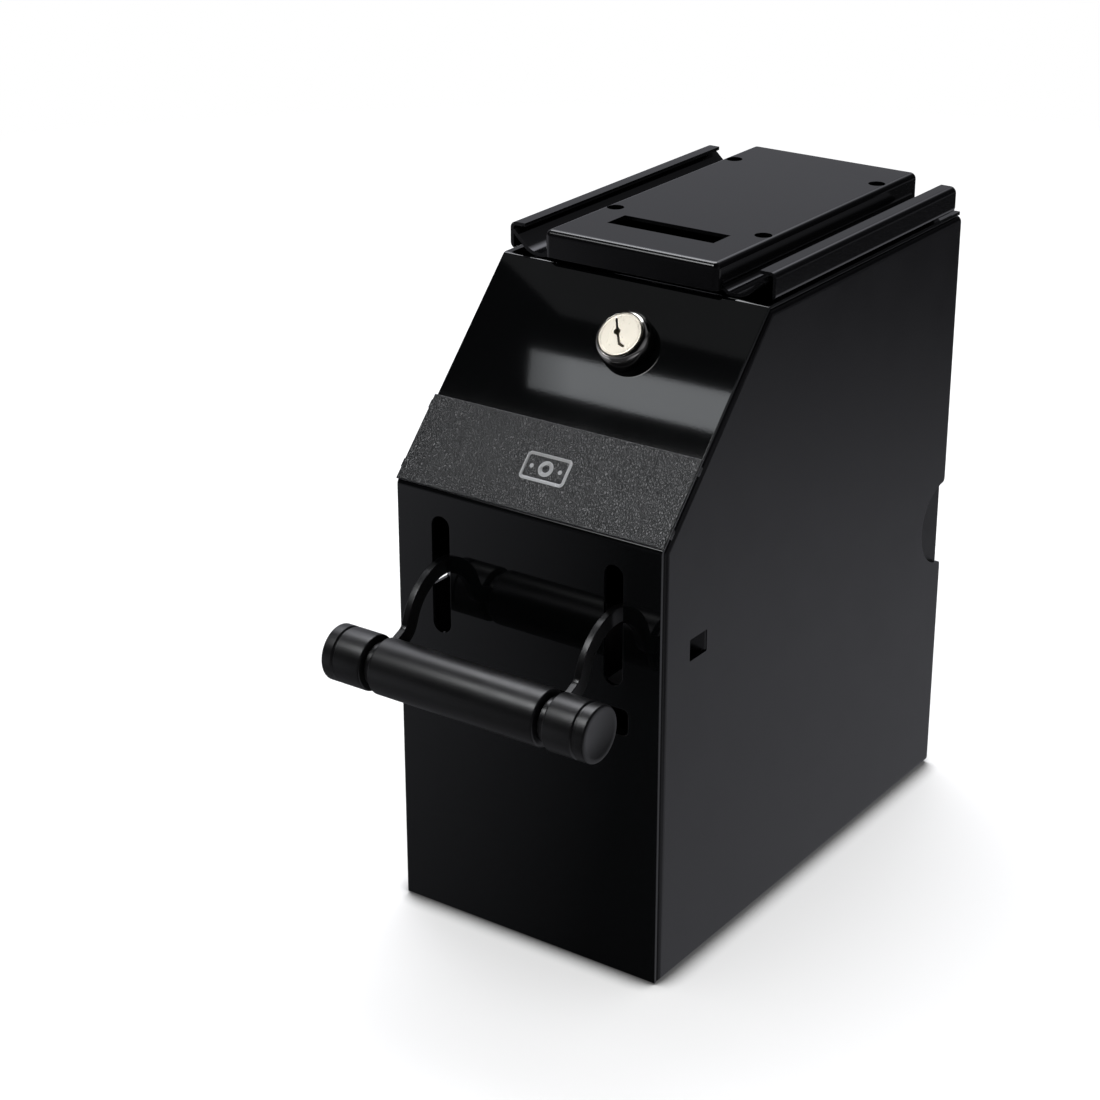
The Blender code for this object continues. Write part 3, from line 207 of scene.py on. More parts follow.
SLOPE_ANGLE = math.atan2(BODY_HEIGHT - FRONT_HEIGHT, SLOPE_DEPTH)
SLOPE_UP = Vector((0.0, math.cos(SLOPE_ANGLE), math.sin(SLOPE_ANGLE)))
SLOPE_FOOT = Vector((0.0, 0.0, FRONT_HEIGHT))
LOCK_CENTRE = Vector(JOINTS["lock_turn"]["pos_m"]) - Vector((0.0, FRONT, 0.0))
PIVOT = (JOINTS["lever_swing"]["pos_m"][1] - FRONT, JOINTS["lever_swing"]["pos_m"][2])
HANDLE_RADIUS = (KNOB_HIGH.z - KNOB_LOW.z) / 2.0
HANDLE = (KNOB_LOW.y + HANDLE_RADIUS - FRONT, KNOB_LOW.z + HANDLE_RADIUS)


# ---- outlines

def arc(centre, radius, start_deg, end_deg, steps):
    points = []
    for i in range(steps + 1):
        angle = math.radians(start_deg + (end_deg - start_deg) * i / steps)
        points.append((centre[0] + radius * math.cos(angle), centre[1] + radius * math.sin(angle)))
    return points


def circle(centre, radius, steps=64):
    return arc(centre, radius, 0.0, 360.0, steps)[:-1]


def rectangle(low_a, high_a, low_b, high_b):
    return [(low_a, low_b), (high_a, low_b), (high_a, high_b), (low_a, high_b)]


def rounded_rectangle(low_a, high_a, low_b, high_b, radius, steps=10):
    corners = (
        ((high_a - radius, low_b + radius), -90.0),
        ((high_a - radius, high_b - radius), 0.0),
        ((low_a + radius, high_b - radius), 90.0),
        ((low_a + radius, low_b + radius), 180.0),
    )
    points = []
    for centre, start in corners:
        points += arc(centre, radius, start, start + 90.0, steps)
    return points


def turn_at(before, corner, after):
    into = (Vector(corner) - Vector(before)).normalized()
    out = (Vector(after) - Vector(corner)).normalized()
    return into, out, math.atan2(into.x * out.y - into.y * out.x, into.dot(out))


def rounded_path(points, radii, steps):
    path = [tuple(points[0])]
    for i in range(1, len(points) - 1):
        into, out, turn = turn_at(points[i - 1], points[i], points[i + 1])
        radius = radii[i - 1]
        start = Vector(points[i]) - into * radius * math.tan(abs(turn) / 2.0)
        centre = start + Vector((-into.y, into.x)) * radius * math.copysign(1.0, turn)
        first = math.degrees(math.atan2(start.y - centre.y, start.x - centre.x))
        path += arc(centre, radius, first, first + math.degrees(turn), steps)
    path.append(tuple(points[-1]))
    return path


def offset_points(points, distance):
    moved = []
    last = len(points) - 1
    for i in range(last + 1):
        before = points[i - 1] if i else Vector(points[0]) * 2.0 - Vector(points[1])
        after = points[i + 1] if i < last else Vector(points[last]) * 2.0 - Vector(points[last - 1])
        into, out, turn = turn_at(before, points[i], after)
        normal = Vector((-into.y - out.y, into.x + out.x)).normalized()
        moved.append(tuple(Vector(points[i]) + normal * distance / math.cos(turn / 2.0)))
    return moved


def sheet_faces(points, thickness, bends, steps=12):
    face_radii = []
    back_radii = []
    for i in range(1, len(points) - 1):
        turn = turn_at(points[i - 1], points[i], points[i + 1])[2]
        inside = bends[i - 1]
        outside = inside + abs(thickness)
        given_is_outside = turn * thickness > 0.0
        face_radii.append(outside if given_is_outside else inside)
        back_radii.append(inside if given_is_outside else outside)
    face = rounded_path(points, face_radii, steps)
    back = rounded_path(offset_points(points, thickness), back_radii, steps)
    return face, back


# ---- solids

def in_space(axis, along, pair):
    a, b = pair
    if axis == "X":
        return (along, a, b)
    if axis == "Y":
        return (a, along, b)
    return (a, b, along)


def make_object(name, bm, sharp=30.0):
    bmesh.ops.recalc_face_normals(bm, faces=bm.faces)
    mesh = bpy.data.meshes.new(name)
    bm.to_mesh(mesh)
    bm.free()
    mesh.shade_smooth()
    mesh.set_sharp_from_angle(angle=math.radians(sharp))
    obj = bpy.data.objects.new(name, mesh)
    bpy.context.collection.objects.link(obj)
    return obj


def prism(name, axis, outline, low, high):
    bm = bmesh.new()
    near = [bm.verts.new(in_space(axis, low, point)) for point in outline]
    far = [bm.verts.new(in_space(axis, high, point)) for point in outline]
    bm.faces.new(near)
    bm.faces.new(far)
    for i in range(len(outline)):
        bm.faces.new((near[i - 1], near[i], far[i], far[i - 1]))
    return make_object(name, bm)


def sheet(name, axis, points, thickness, bends, low, high, steps=12):
    face, back = sheet_faces(points, thickness, bends, steps)
    return prism(name, axis, face + back[::-1], low, high)


def block(name, low, high):
    return prism(name, "Z", rectangle(low[0], high[0], low[1], high[1]), low[2], high[2])


def turned(name, profile, closed, steps=96):
    bm = bmesh.new()
    verts = [bm.verts.new((radius, 0.0, height)) for radius, height in profile]
    edges = [bm.edges.new((verts[i], verts[i + 1])) for i in range(len(verts) - 1)]
    if closed:
        edges.append(bm.edges.new((verts[-1], verts[0])))
    bmesh.ops.spin(bm, geom=verts + edges, cent=(0.0, 0.0, 0.0), axis=(0.0, 0.0, 1.0),
                   angle=math.tau, steps=steps, use_merge=True)
    bmesh.ops.remove_doubles(bm, verts=bm.verts, dist=1e-7)
    return make_object(name, bm)


def turned_on_x(name, profile, closed, centre, steps=96):
    obj = turned(name, profile, closed, steps)
    obj.matrix_world = Matrix.Translation((0.0, *centre)) @ Matrix.Rotation(math.pi / 2.0, 4, "Y")
    return obj


def on_slope(obj, centre=None):
    """Local Y up the slope, local Z out of it."""
    place = SLOPE_FOOT if centre is None else centre
    obj.matrix_world = Matrix.Translation(place) @ Matrix.Rotation(SLOPE_ANGLE, 4, "X")
    return obj


def boolean(target, tool, operation):
    modifier = target.modifiers.new(operation.lower(), "BOOLEAN")
    modifier.operation = operation
    modifier.solver = "EXACT"
    modifier.object = tool
    return target


def cut(target, *tools):
    for tool in tools:
        boolean(target, tool, "DIFFERENCE")
    return target


def fuse(target, *tools):
    for tool in tools:
        boolean(target, tool, "UNION")
    return target


def soften(obj, width, segments=2, angle=32.0):
    """Small radius on every sharp edge, as paint and tumbling leave it."""
    bake_shape(obj)
    bevel = obj.modifiers.new("soft_edges", "BEVEL")
    bevel.width = width
    bevel.segments = segments
    bevel.limit_method = "ANGLE"
    bevel.angle_limit = math.radians(angle)
    bevel.use_clamp_overlap = True
    bevel.miter_outer = "MITER_ARC"
    bake_shape(obj)
    obj.data.shade_smooth()
    obj.data.set_sharp_from_angle(angle=math.radians(40.0))
    weigh = obj.modifiers.new("even_shading", "WEIGHTED_NORMAL")
    weigh.keep_sharp = True
    return obj


def bake_shape(obj):
    """Keep the evaluated mesh, then drop the modifiers and the tools."""
    tools = [modifier.object for modifier in obj.modifiers if modifier.type == "BOOLEAN"]
    bpy.context.view_layer.update()
    graph = bpy.context.evaluated_depsgraph_get()
    mesh = bpy.data.meshes.new_from_object(obj.evaluated_get(graph))
    obj.modifiers.clear()
    obj.data = mesh
    for tool in tools:
        bpy.data.objects.remove(tool, do_unlink=True)
    return obj


def seat(obj, body, slot, look, *nodes):
    """Move a finished piece into the frame, dress it and let it ride in place of CAD nodes."""
    bpy.context.view_layer.update()
    obj.data.transform(Matrix.Translation((0.0, FRONT, 0.0)) @ obj.matrix_world)
    obj.matrix_world = Matrix.Identity(4)
    obj.data.materials.clear()
    obj.data.materials.append(look)
    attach(obj, body)
    if nodes:
        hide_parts(*nodes)
    return obj


def sides():
    return (("left", -1.0), ("right", 1.0))


def span(side, inner, outer):
    return tuple(sorted((side * inner, side * outer)))


# ---- finishes

DUST = (0.16, 0.16, 0.155)
LEATHER_RELIEF = 0.055 * MM
LEATHER_GRIT = 0.006 * MM


def node(tree, kind, inputs=None, **settings):
    """New node; an input is either a value or another node's output."""
    made = tree.nodes.new(kind)
    for key, value in settings.items():
        setattr(made, key, value)
    for key, value in (inputs or {}).items():
        socket = made.inputs[key]
        if isinstance(value, bpy.types.NodeSocket):
            tree.links.new(value, socket)
        else:
            socket.default_value = value
    return made


def start_material(name):
    material = bpy.data.materials.new(name)
    material.use_nodes = True
    tree = material.node_tree
    shader = tree.nodes["Principled BSDF"]
    place = node(tree, "ShaderNodeTexCoord").outputs["Object"]
    return material, tree, shader, place


def noise_at(tree, place, scale, detail=2.0, rough=0.5):
    made = node(tree, "ShaderNodeTexNoise", {"Vector": place, "Scale": scale, "Detail": detail,
                                             "Roughness": rough})
    return made.outputs["Fac"]


def ramp(tree, value, low, high, to_low, to_high):
    made = node(tree, "ShaderNodeMapRange", {"Value": value, "From Min": low, "From Max": high,
                                             "To Min": to_low, "To Max": to_high})
    return made.outputs["Result"]


def math_node(tree, operation, a, b=0.0):
    return node(tree, "ShaderNodeMath", {0: a, 1: b}, operation=operation).outputs[0]


def mix_colour(tree, factor, a, b):
    made = node(tree, "ShaderNodeMix", data_type="RGBA")
    if isinstance(factor, bpy.types.NodeSocket):
        tree.links.new(factor, made.inputs[0])
    else:
        made.inputs[0].default_value = factor
    for index, value in ((6, a), (7, b)):
        if isinstance(value, bpy.types.NodeSocket):
            tree.links.new(value, made.inputs[index])
        else:
            made.inputs[index].default_value = (*value, 1.0)
    return made.outputs[2]


def edge_mask(tree, radius, start, full):
    """1 on the outer edges of a piece, 0 on its flats."""
    rounded = node(tree, "ShaderNodeBevel", {"Radius": radius}, samples=4).outputs["Normal"]
    true = node(tree, "ShaderNodeNewGeometry").outputs["Normal"]
    same = node(tree, "ShaderNodeVectorMath", {0: rounded, 1: true}, operation="DOT_PRODUCT")
    return ramp(tree, same.outputs["Value"], 1.0 - start, 1.0 - full, 0.0, 1.0)


def bump(tree, height, distance, under=None):
    inputs = {"Height": height, "Strength": 1.0, "Distance": distance}
    if under is not None:
        inputs["Normal"] = under
    return node(tree, "ShaderNodeBump", inputs).outputs["Normal"]


def scaled(colour, factor):
    return tuple(c * factor for c in colour)


def paint(name, colour, edge_wear_and_highlight, roughness, peel, sway, speck=0.35):
    """Powder coat: fine orange peel on gently wavy sheet, thinner and paler along the edges."""
    material, tree, shader, place = start_material(name)
    fine = noise_at(tree, place, 1500.0, 2.0, 0.45)
    broad = noise_at(tree, place, 11.0, 1.0)
    cloud = noise_at(tree, place, 55.0, 4.0, 0.6)
    patch = ramp(tree, noise_at(tree, place, 260.0, 3.0), 0.42, 0.62, 0.25, 1.0)
    edge = math_node(tree, "MULTIPLY", edge_mask(tree, 0.5 * MM, 0.03, 0.30), patch)
    grains = node(tree, "ShaderNodeTexVoronoi", {"Vector": place, "Scale": 420.0})
    dust = math_node(tree, "MULTIPLY",
                     ramp(tree, grains.outputs["Distance"], 0.035, 0.015, 0.0, 1.0),
                     ramp(tree, noise_at(tree, place, 30.0, 1.0), 0.52, 0.66, 0.0, speck))
    base = mix_colour(tree, cloud, scaled(colour, 0.82), scaled(colour, 1.18))
    base = mix_colour(tree, math_node(tree, "MULTIPLY", edge, 0.8), base, edge_wear_and_highlight)
    base = mix_colour(tree, dust, base, DUST)
    tree.links.new(base, shader.inputs["Base Color"])
    gloss = ramp(tree, cloud, 0.3, 0.7, roughness * 0.9, roughness * 1.1)
    gloss = math_node(tree, "ADD", gloss, math_node(tree, "MULTIPLY", edge, 0.08))
    gloss = math_node(tree, "ADD", gloss, math_node(tree, "MULTIPLY", dust, 0.4))
    tree.links.new(gloss, shader.inputs["Roughness"])
    under = bump(tree, broad, sway)
    tree.links.new(bump(tree, fine, peel, under), shader.inputs["Normal"])
    return material


def leather(name, colour, edge_wear_and_highlight, roughness):
    """Textured coat: small irregular cells with narrow valleys, and paler edges that are a painted
    highlight.
    """
    material, tree, shader, place = start_material(name)
    warp = node(tree, "ShaderNodeTexNoise", {"Vector": place, "Scale": 500.0, "Detail": 2.0})
    pull = node(tree, "ShaderNodeVectorMath", {0: warp.outputs["Color"], 1: (0.0009, 0.0009, 0.0009)},
                operation="MULTIPLY")
    bent = node(tree, "ShaderNodeVectorMath", {0: place, 1: pull.outputs[0]},
                operation="ADD").outputs[0]
    long = node(tree, "ShaderNodeMapping", {"Vector": bent, "Scale": (1.0, 0.62, 0.62)}).outputs[0]
    cells = node(tree, "ShaderNodeTexVoronoi", {"Vector": long, "Scale": 1500.0},
                 feature="DISTANCE_TO_EDGE")
    crown = ramp(tree, cells.outputs["Distance"], 0.0, 0.22, 0.0, 1.0)
    grit = noise_at(tree, place, 5200.0, 2.0)
    cloud = noise_at(tree, place, 60.0, 3.0)
    edge = edge_mask(tree, 0.4 * MM, 0.03, 0.30)
    base = mix_colour(tree, crown, scaled(colour, 0.25), colour)
    base = mix_colour(tree, math_node(tree, "MULTIPLY", cloud, 0.3), base, scaled(colour, 1.6))
    # Edges painted paler; on the grained plate this pale edge is a painted highlight along its folded
    # edges.
    base = mix_colour(tree, math_node(tree, "MULTIPLY", edge, 0.80), base, edge_wear_and_highlight)
    tree.links.new(base, shader.inputs["Base Color"])
    gloss = ramp(tree, crown, 0.0, 1.0, roughness + 0.08, roughness - 0.02)
    tree.links.new(gloss, shader.inputs["Roughness"])
    under = bump(tree, crown, LEATHER_RELIEF)
    tree.links.new(bump(tree, grit, LEATHER_GRIT, under), shader.inputs["Normal"])
    return material


def metal(name, colour, stain, roughness, scratch, stretch=(1.0, 1.0, 1.0), depth=0.0006 * MM):
    """Plated metal: cloudy tint, fine directional scratches and brighter, rubbed edges."""
    material, tree, shader, place = start_material(name)
    shader.inputs["Metallic"].default_value = 1.0
    cloud = noise_at(tree, place, 140.0, 3.0, 0.6)
    lines = node(tree, "ShaderNodeMapping", {"Vector": place, "Scale": stretch}).outputs[0]
    fine = noise_at(tree, lines, scratch, 3.0, 0.65)
    edge = edge_mask(tree, 0.25 * MM, 0.04, 0.35)
    base = mix_colour(tree, cloud, stain, colour)
    base = mix_colour(tree, math_node(tree, "MULTIPLY", edge, 0.5), base,
                      tuple(min(c * 1.15, 0.95) for c in colour))
    tree.links.new(base, shader.inputs["Base Color"])
    gloss = ramp(tree, cloud, 0.3, 0.7, roughness * 0.85, roughness * 1.2)
    gloss = math_node(tree, "ADD", gloss, ramp(tree, fine, 0.35, 0.65, -0.03, 0.05))
    tree.links.new(gloss, shader.inputs["Roughness"])
    tree.links.new(bump(tree, fine, depth), shader.inputs["Normal"])
    return material


def plastic(name, colour, pale, roughness, grain=0.004 * MM):
    """Moulded plastic: fine spark texture with hand polish on the edges."""
    material, tree, shader, place = start_material(name)
    spark = noise_at(tree, place, 3800.0, 3.0, 0.6)
    cloud = noise_at(tree, place, 90.0, 3.0)
    edge = edge_mask(tree, 0.35 * MM, 0.03, 0.30)
    base = mix_colour(tree, cloud, scaled(colour, 0.85), scaled(colour, 1.15))
    base = mix_colour(tree, math_node(tree, "MULTIPLY", edge, 0.5), base, pale)
    tree.links.new(base, shader.inputs["Base Color"])
    gloss = ramp(tree, cloud, 0.3, 0.7, roughness - 0.03, roughness + 0.05)
    gloss = math_node(tree, "SUBTRACT", gloss, math_node(tree, "MULTIPLY", edge, 0.08))
    tree.links.new(gloss, shader.inputs["Roughness"])
    tree.links.new(bump(tree, spark, grain), shader.inputs["Normal"])
    return material


DARK_EDGE = (0.026, 0.026, 0.027)
GLOSS = paint("gloss_coat", (0.0022, 0.0025, 0.0027), (0.020, 0.020, 0.021), 0.030,
              0.0006 * MM, 0.006 * MM, 0.25)
SATIN = paint("satin_coat", (0.0040, 0.0038, 0.0046), DARK_EDGE, 0.24, 0.0025 * MM, 0.02 * MM)
SMOOTH = paint("smooth_coat", (0.0046, 0.0046, 0.0052), DARK_EDGE, 0.10, 0.001 * MM, 0.01 * MM)
# Also put on the shutter plate and note chute as painted shade.
INNER = paint("inner_coat_and_shade", (0.0070, 0.0070, 0.0075), (0.035, 0.035, 0.035), 0.42, 0.005 * MM, 0.03 * MM)
ARM = paint("arm_coat", (0.0080, 0.0080, 0.0085), (0.040, 0.040, 0.040), 0.30, 0.003 * MM, 0.01 * MM)
# Its pale edge colour (0.300) is a painted highlight along the plate's edges.
GRAIN = leather("grained_coat", (0.015, 0.0155, 0.017), (0.300, 0.302, 0.310), 0.31)
KNOB = plastic("handle_plastic", (0.0060, 0.0060, 0.0064), (0.016, 0.016, 0.016), 0.34)
NYLON = plastic("bearing_nylon", (0.014, 0.014, 0.014), (0.035, 0.035, 0.035), 0.45)
WHITE = plastic("white_print", (0.78, 0.79, 0.79), (0.70, 0.70, 0.70), 0.50, 0.002 * MM)
BRIGHT = metal("polished_nickel", (0.80, 0.78, 0.74), (0.72, 0.69, 0.64), 0.045, 900.0)
NICKEL = metal("satin_nickel", (0.50, 0.465, 0.40), (0.465, 0.43, 0.365), 0.30, 2400.0,
               (1.0, 0.15, 0.15), 0.0003 * MM)
ZINC = metal("zinc_plate", (0.46, 0.47, 0.47), (0.38, 0.38, 0.36), 0.34, 1600.0)
SPRING = metal("spring_steel", (0.30, 0.30, 0.31), (0.20, 0.19, 0.19), 0.28, 1800.0)


# ---- body

def body_profile(inset, rear):
    line = [(rear, BODY_HEIGHT), (SLOPE_DEPTH, BODY_HEIGHT), (0.0, FRONT_HEIGHT), (0.0, 0.0)]
    return offset_points(line, inset)


def make_wrap_shell():
    """Front, slope and deck in one bent sheet, with its slots, note mouth and lock hole."""
    line = [(BODY_DEPTH, BODY_HEIGHT), (SLOPE_DEPTH, BODY_HEIGHT),
            (0.0, FRONT_HEIGHT), (0.0, SHELL_BOTTOM)]
    shell = sheet("formed_wrap_shell", "X", line, SHEET, (BEND, BEND),
                  -SHELL_HALF_WIDTH, SHELL_HALF_WIDTH)
    for label, side in sides():
        centre = side * LEVER_SLOT_X
        outline = rounded_rectangle(centre - LEVER_SLOT_HALF, centre + LEVER_SLOT_HALF,
                                    *LEVER_SLOT_Z, LEVER_SLOT_HALF)
        cut(shell, prism(label + "_slot_tool", "Y", outline, -OVERCUT, OVERCUT))
    mouth = rounded_rectangle(-MOUTH_HALF_WIDTH, MOUTH_HALF_WIDTH, *MOUTH_Z, MOUTH_CORNER)
    cut(shell, prism("mouth_tool", "Y", mouth, -OVERCUT, OVERCUT))
    deck_slot = rounded_rectangle(*DECK_SLOT_X, *DECK_SLOT_Y, SLOT_CORNER)
    cut(shell, prism("deck_slot_tool", "Z", deck_slot, BODY_HEIGHT - OVERCUT, BODY_HEIGHT + OVERCUT))
    hole = prism("lock_hole_tool", "Z", circle((0.0, 0.0), BARREL_RADIUS + SEAM), -OVERCUT, OVERCUT)
    cut(shell, on_slope(hole, LOCK_CENTRE))
    soften(shell, SHEET_EDGE)
    return seat(shell, "housing", "gloss_shell", GLOSS, "wrap_shell")


def pan_solid(name, inset, rear, low, high, outer_x, radius):
    """Solid side panel, rounded where its flanges leave the outer face."""
    outline = body_profile(SHEET + SEAM + inset, rear)
    outline[-1] = (outline[-1][0], inset)
    outline.append((rear, inset))
    obj = prism(name, "X", outline, low, high)
    bm = bmesh.new()
    bm.from_mesh(obj.data)
    rim = []
    for edge in bm.edges:
        ends = [vert.co for vert in edge.verts]
        on_outer_face = all(abs(co.x - outer_x) < 1e-6 for co in ends)
        on_rear = all(abs(co.y - rear) < 1e-6 for co in ends)
        if on_outer_face and not on_rear:
            rim.append(edge)
    bmesh.ops.bevel(bm, geom=rim, offset=radius, segments=10, profile=0.5, affect="EDGES")
    bm.to_mesh(obj.data)
    bm.free()
    return obj


def thumb_outline():
    """Half-round notch that meets the rear edge in small round corners."""
    reach = THUMB_RADIUS + THUMB_LIP
    meet = math.degrees(math.asin(THUMB_LIP / reach))
    edge = BODY_DEPTH
    rise = reach * math.cos(math.radians(meet))
    outline = [(edge + OVERCUT, THUMB_Z - rise)]
    outline += arc((edge - THUMB_LIP, THUMB_Z - rise), THUMB_LIP, 0.0, 90.0 - meet, 8)
    outline += arc((edge, THUMB_Z), THUMB_RADIUS, 270.0 - meet, 90.0 + meet, 40)
    outline += arc((edge - THUMB_LIP, THUMB_Z + rise), THUMB_LIP, -90.0 + meet, 0.0, 8)
    outline += [(edge + OVERCUT, THUMB_Z + rise)]
    return outline


def make_side_pan(label, side):
    """Side panel with turned-in flanges, a thumb notch and a window whose tab is bent inwards."""
    outer_x = side * BODY_HALF_WIDTH
    flange_x = side * (BODY_HALF_WIDTH - FLANGE)
    inner_x = side * (BODY_HALF_WIDTH - SHEET)
    low, high = sorted((outer_x, flange_x))
    pan = pan_solid("formed_%s_side" % label, 0.0, BODY_DEPTH, low, high, outer_x, BEND + SHEET)
    low, high = sorted((inner_x, flange_x - side * OVERCUT))
    cut(pan, pan_solid(label + "_hollow", SHEET, BODY_DEPTH + OVERCUT, low, high, inner_x, BEND))
    low, high = sorted((outer_x + side * SHEET, inner_x - side * SHEET))
    window = rounded_rectangle(*WINDOW_Y, *WINDOW_Z, WINDOW_CORNER, 4)
    cut(pan, prism(label + "_window_tool", "X", window, low, high))
    cut(pan, prism(label + "_thumb_tool", "X", thumb_outline(), low, high))
    face_x = BODY_HALF_WIDTH - TAB_SINK
    reach = WINDOW_Y[1] - WINDOW_Y[0]
    tip = (side * (face_x - reach * math.sin(TAB_ANGLE)), WINDOW_Y[1] - reach * math.cos(TAB_ANGLE))
    path = [(side * face_x, WINDOW_Y[1] + TAB_ROOT), (side * face_x, WINDOW_Y[1]), tip]
    fuse(pan, sheet(label + "_tab", "Z", path, -side * TAB_THICKNESS, (BEND,),
                    WINDOW_Z[0] + TAB_CLEARANCE, WINDOW_Z[1] - TAB_CLEARANCE))
    soften(pan, PAN_EDGE)
    return seat(pan, "housing", "satin_panel", SATIN, label + "_side_pan")


def make_rail(label, side):
    """Rail whose foot stops short of its ends, with a lip turned in over the bracket's wing."""
    foot = BODY_HEIGHT + SEAM
    front = RAIL_LOW.y - FRONT
    rear = RAIL_HIGH.y - FRONT
    line = [(side * RAIL_FOOT_X, foot), (side * RAIL_HIGH.x, foot),
            (side * RAIL_HIGH.x, RAIL_HIGH.z), (side * RAIL_LIP_X, RAIL_HIGH.z)]
    rail = sheet("formed_%s_rail" % label, "Y", line, side * SHEET, (BEND, BEND), front, rear)
    near, far = span(side, RAIL_FOOT_X - OVERCUT, RAIL_HIGH.x - SHEET)
    top = foot + SHEET + BEND
    ends = (("front", front - OVERCUT, front + RAIL_SETBACK), ("rear", rear - RAIL_SETBACK, rear + OVERCUT))
    for name, start, end in ends:
        cut(rail, block("%s_%s_relief" % (label, name), (near, start, foot - OVERCUT), (far, end, top)))
    soften(rail, SHEET_EDGE)
    return seat(rail, "housing", "satin_panel", SMOOTH, label + "_rail")


def ring_out(bm, ring, outset, level):
    """Copy of the plate's border ring, moved outwards and set at a level."""
    half = max(vert.co.x for vert in ring)
    low = min(vert.co.y for vert in ring)
    high = max(vert.co.y for vert in ring)
    moved = []
    for vert in ring:
        x, y = vert.co.x, vert.co.y
        across = math.copysign(outset, x) if abs(abs(x) - half) < 1e-7 else 0.0
        along = outset if abs(y - high) < 1e-7 else -outset if abs(y - low) < 1e-7 else 0.0
        moved.append(bm.verts.new((x + across, y + along, level)))
    return moved


def grain_height(x, y):
    """Height of the leather grain at a place on the plate."""
    drift = noise.noise_vector(Vector((x, y, 0.0)) * 420.0) * GRAIN_DRIFT
    spot = Vector((x + drift.x, (y + drift.y) * 0.75, 0.0)) * GRAIN_PITCH
    near, far = noise.voronoi(spot)[0][:2]
    crown = min((far - near) / 0.4, 1.0)
    swell = noise.noise(Vector((x, y, 1.0)) * 260.0)
    return (crown - 1.0) * GRAIN_DEPTH + swell * GRAIN_SWELL


def make_name_plate():
    """Thin cover with a grained face, and small lugs folded over the edges of the shell."""
    top = PLATE_GAP + PLATE_THICKNESS
    half = PLATE_HALF_WIDTH - PLATE_EDGE
    low = PLATE_SPAN[0] + PLATE_EDGE
    high = PLATE_SPAN[1] - PLATE_EDGE
    columns = round(2.0 * half / GRAIN_STEP)
    rows = round((high - low) / GRAIN_STEP)
    noise.seed_set(GRAIN_SEED)
    bm = bmesh.new()
    grid = []
    for j in range(rows + 1):
        y = low + (high - low) * j / rows
        line = []
        for i in range(columns + 1):
            x = half * (2.0 * i / columns - 1.0)
            on_border = i in (0, columns) or j in (0, rows)
            level = top - GRAIN_SWELL if on_border else top - GRAIN_SWELL + grain_height(x, y)
            line.append(bm.verts.new((x, y, level)))
        grid.append(line)
    for j in range(rows):
        for i in range(columns):
            bm.faces.new((grid[j][i], grid[j][i + 1], grid[j + 1][i + 1], grid[j + 1][i]))
    ring = grid[0][:-1] + [row[-1] for row in grid[:-1]]
    ring += grid[-1][:0:-1] + [row[0] for row in grid[:0:-1]]
    border = ring
    for outset, drop in (*PLATE_ROUNDING, (PLATE_EDGE, PLATE_THICKNESS)):
        outer = ring_out(bm, ring, outset, top - drop)
        for k in range(len(ring)):
            bm.faces.new((border[k - 1], border[k], outer[k], outer[k - 1]))
        border = outer
    bm.faces.new(border)
    plate = on_slope(make_object("formed_name_plate", bm, 60.0))
    for label, side in sides():
        for number, along in enumerate(LUG_PLACES):
            near, far = span(side, SHELL_HALF_WIDTH + PLATE_GAP, PLATE_HIGH.x)
            lug = block("%s_lug_%d" % (label, number), (near, along - LUG_HALF, -SHEET + PLATE_GAP),
                        (far, along + LUG_HALF, top - LUG_DROP))
            fuse(plate, on_slope(soften(lug, LUG_EDGE)))
    bake_shape(plate)
    plate.data.shade_smooth()
    return seat(plate, "housing", "grained_plate", GRAIN, "name_plate")


def make_plate_mark():
    """Plain banknote sign printed on the plate: a rounded frame round a ring and two spots."""
    base = PLATE_GAP + PLATE_THICKNESS + MARK_LIFT
    top = base + MARK_THICKNESS
    x, y = MARK_CENTRE
    half, tall = MARK_SIZE[0] / 2.0, MARK_SIZE[1] / 2.0
    outer = rounded_rectangle(x - half, x + half, y - tall, y + tall, MARK_CORNER)
    mark = prism("plate_mark", "Z", outer, base, top)
    inner = rounded_rectangle(x - half + MARK_LINE, x + half - MARK_LINE,
                              y - tall + MARK_LINE, y + tall - MARK_LINE, MARK_INNER_CORNER)
    cut(mark, prism("mark_inside", "Z", inner, base - MM, top + MM))
    ring = prism("mark_ring", "Z", circle((x, y), MARK_RING[0], 48), base, top)
    cut(ring, prism("mark_ring_inside", "Z", circle((x, y), MARK_RING[1], 40), base - MM, top + MM))
    bake_shape(ring)
    bake_shape(mark)
    bm = bmesh.new()
    bm.from_mesh(mark.data)
    bm.from_mesh(ring.data)
    bpy.data.objects.remove(ring, do_unlink=True)
    for label, side in sides():
        centre = (x + side * (half - MARK_SPOT_INSET), y)
        spot = prism(label + "_spot", "Z", circle(centre, MARK_SPOT, 28), base, top)
        bm.from_mesh(spot.data)
        bpy.data.objects.remove(spot, do_unlink=True)
    bm.to_mesh(mark.data)
    bm.free()
    return seat(on_slope(mark), "housing", "grained_plate", WHITE)


# ---- bracket and tray

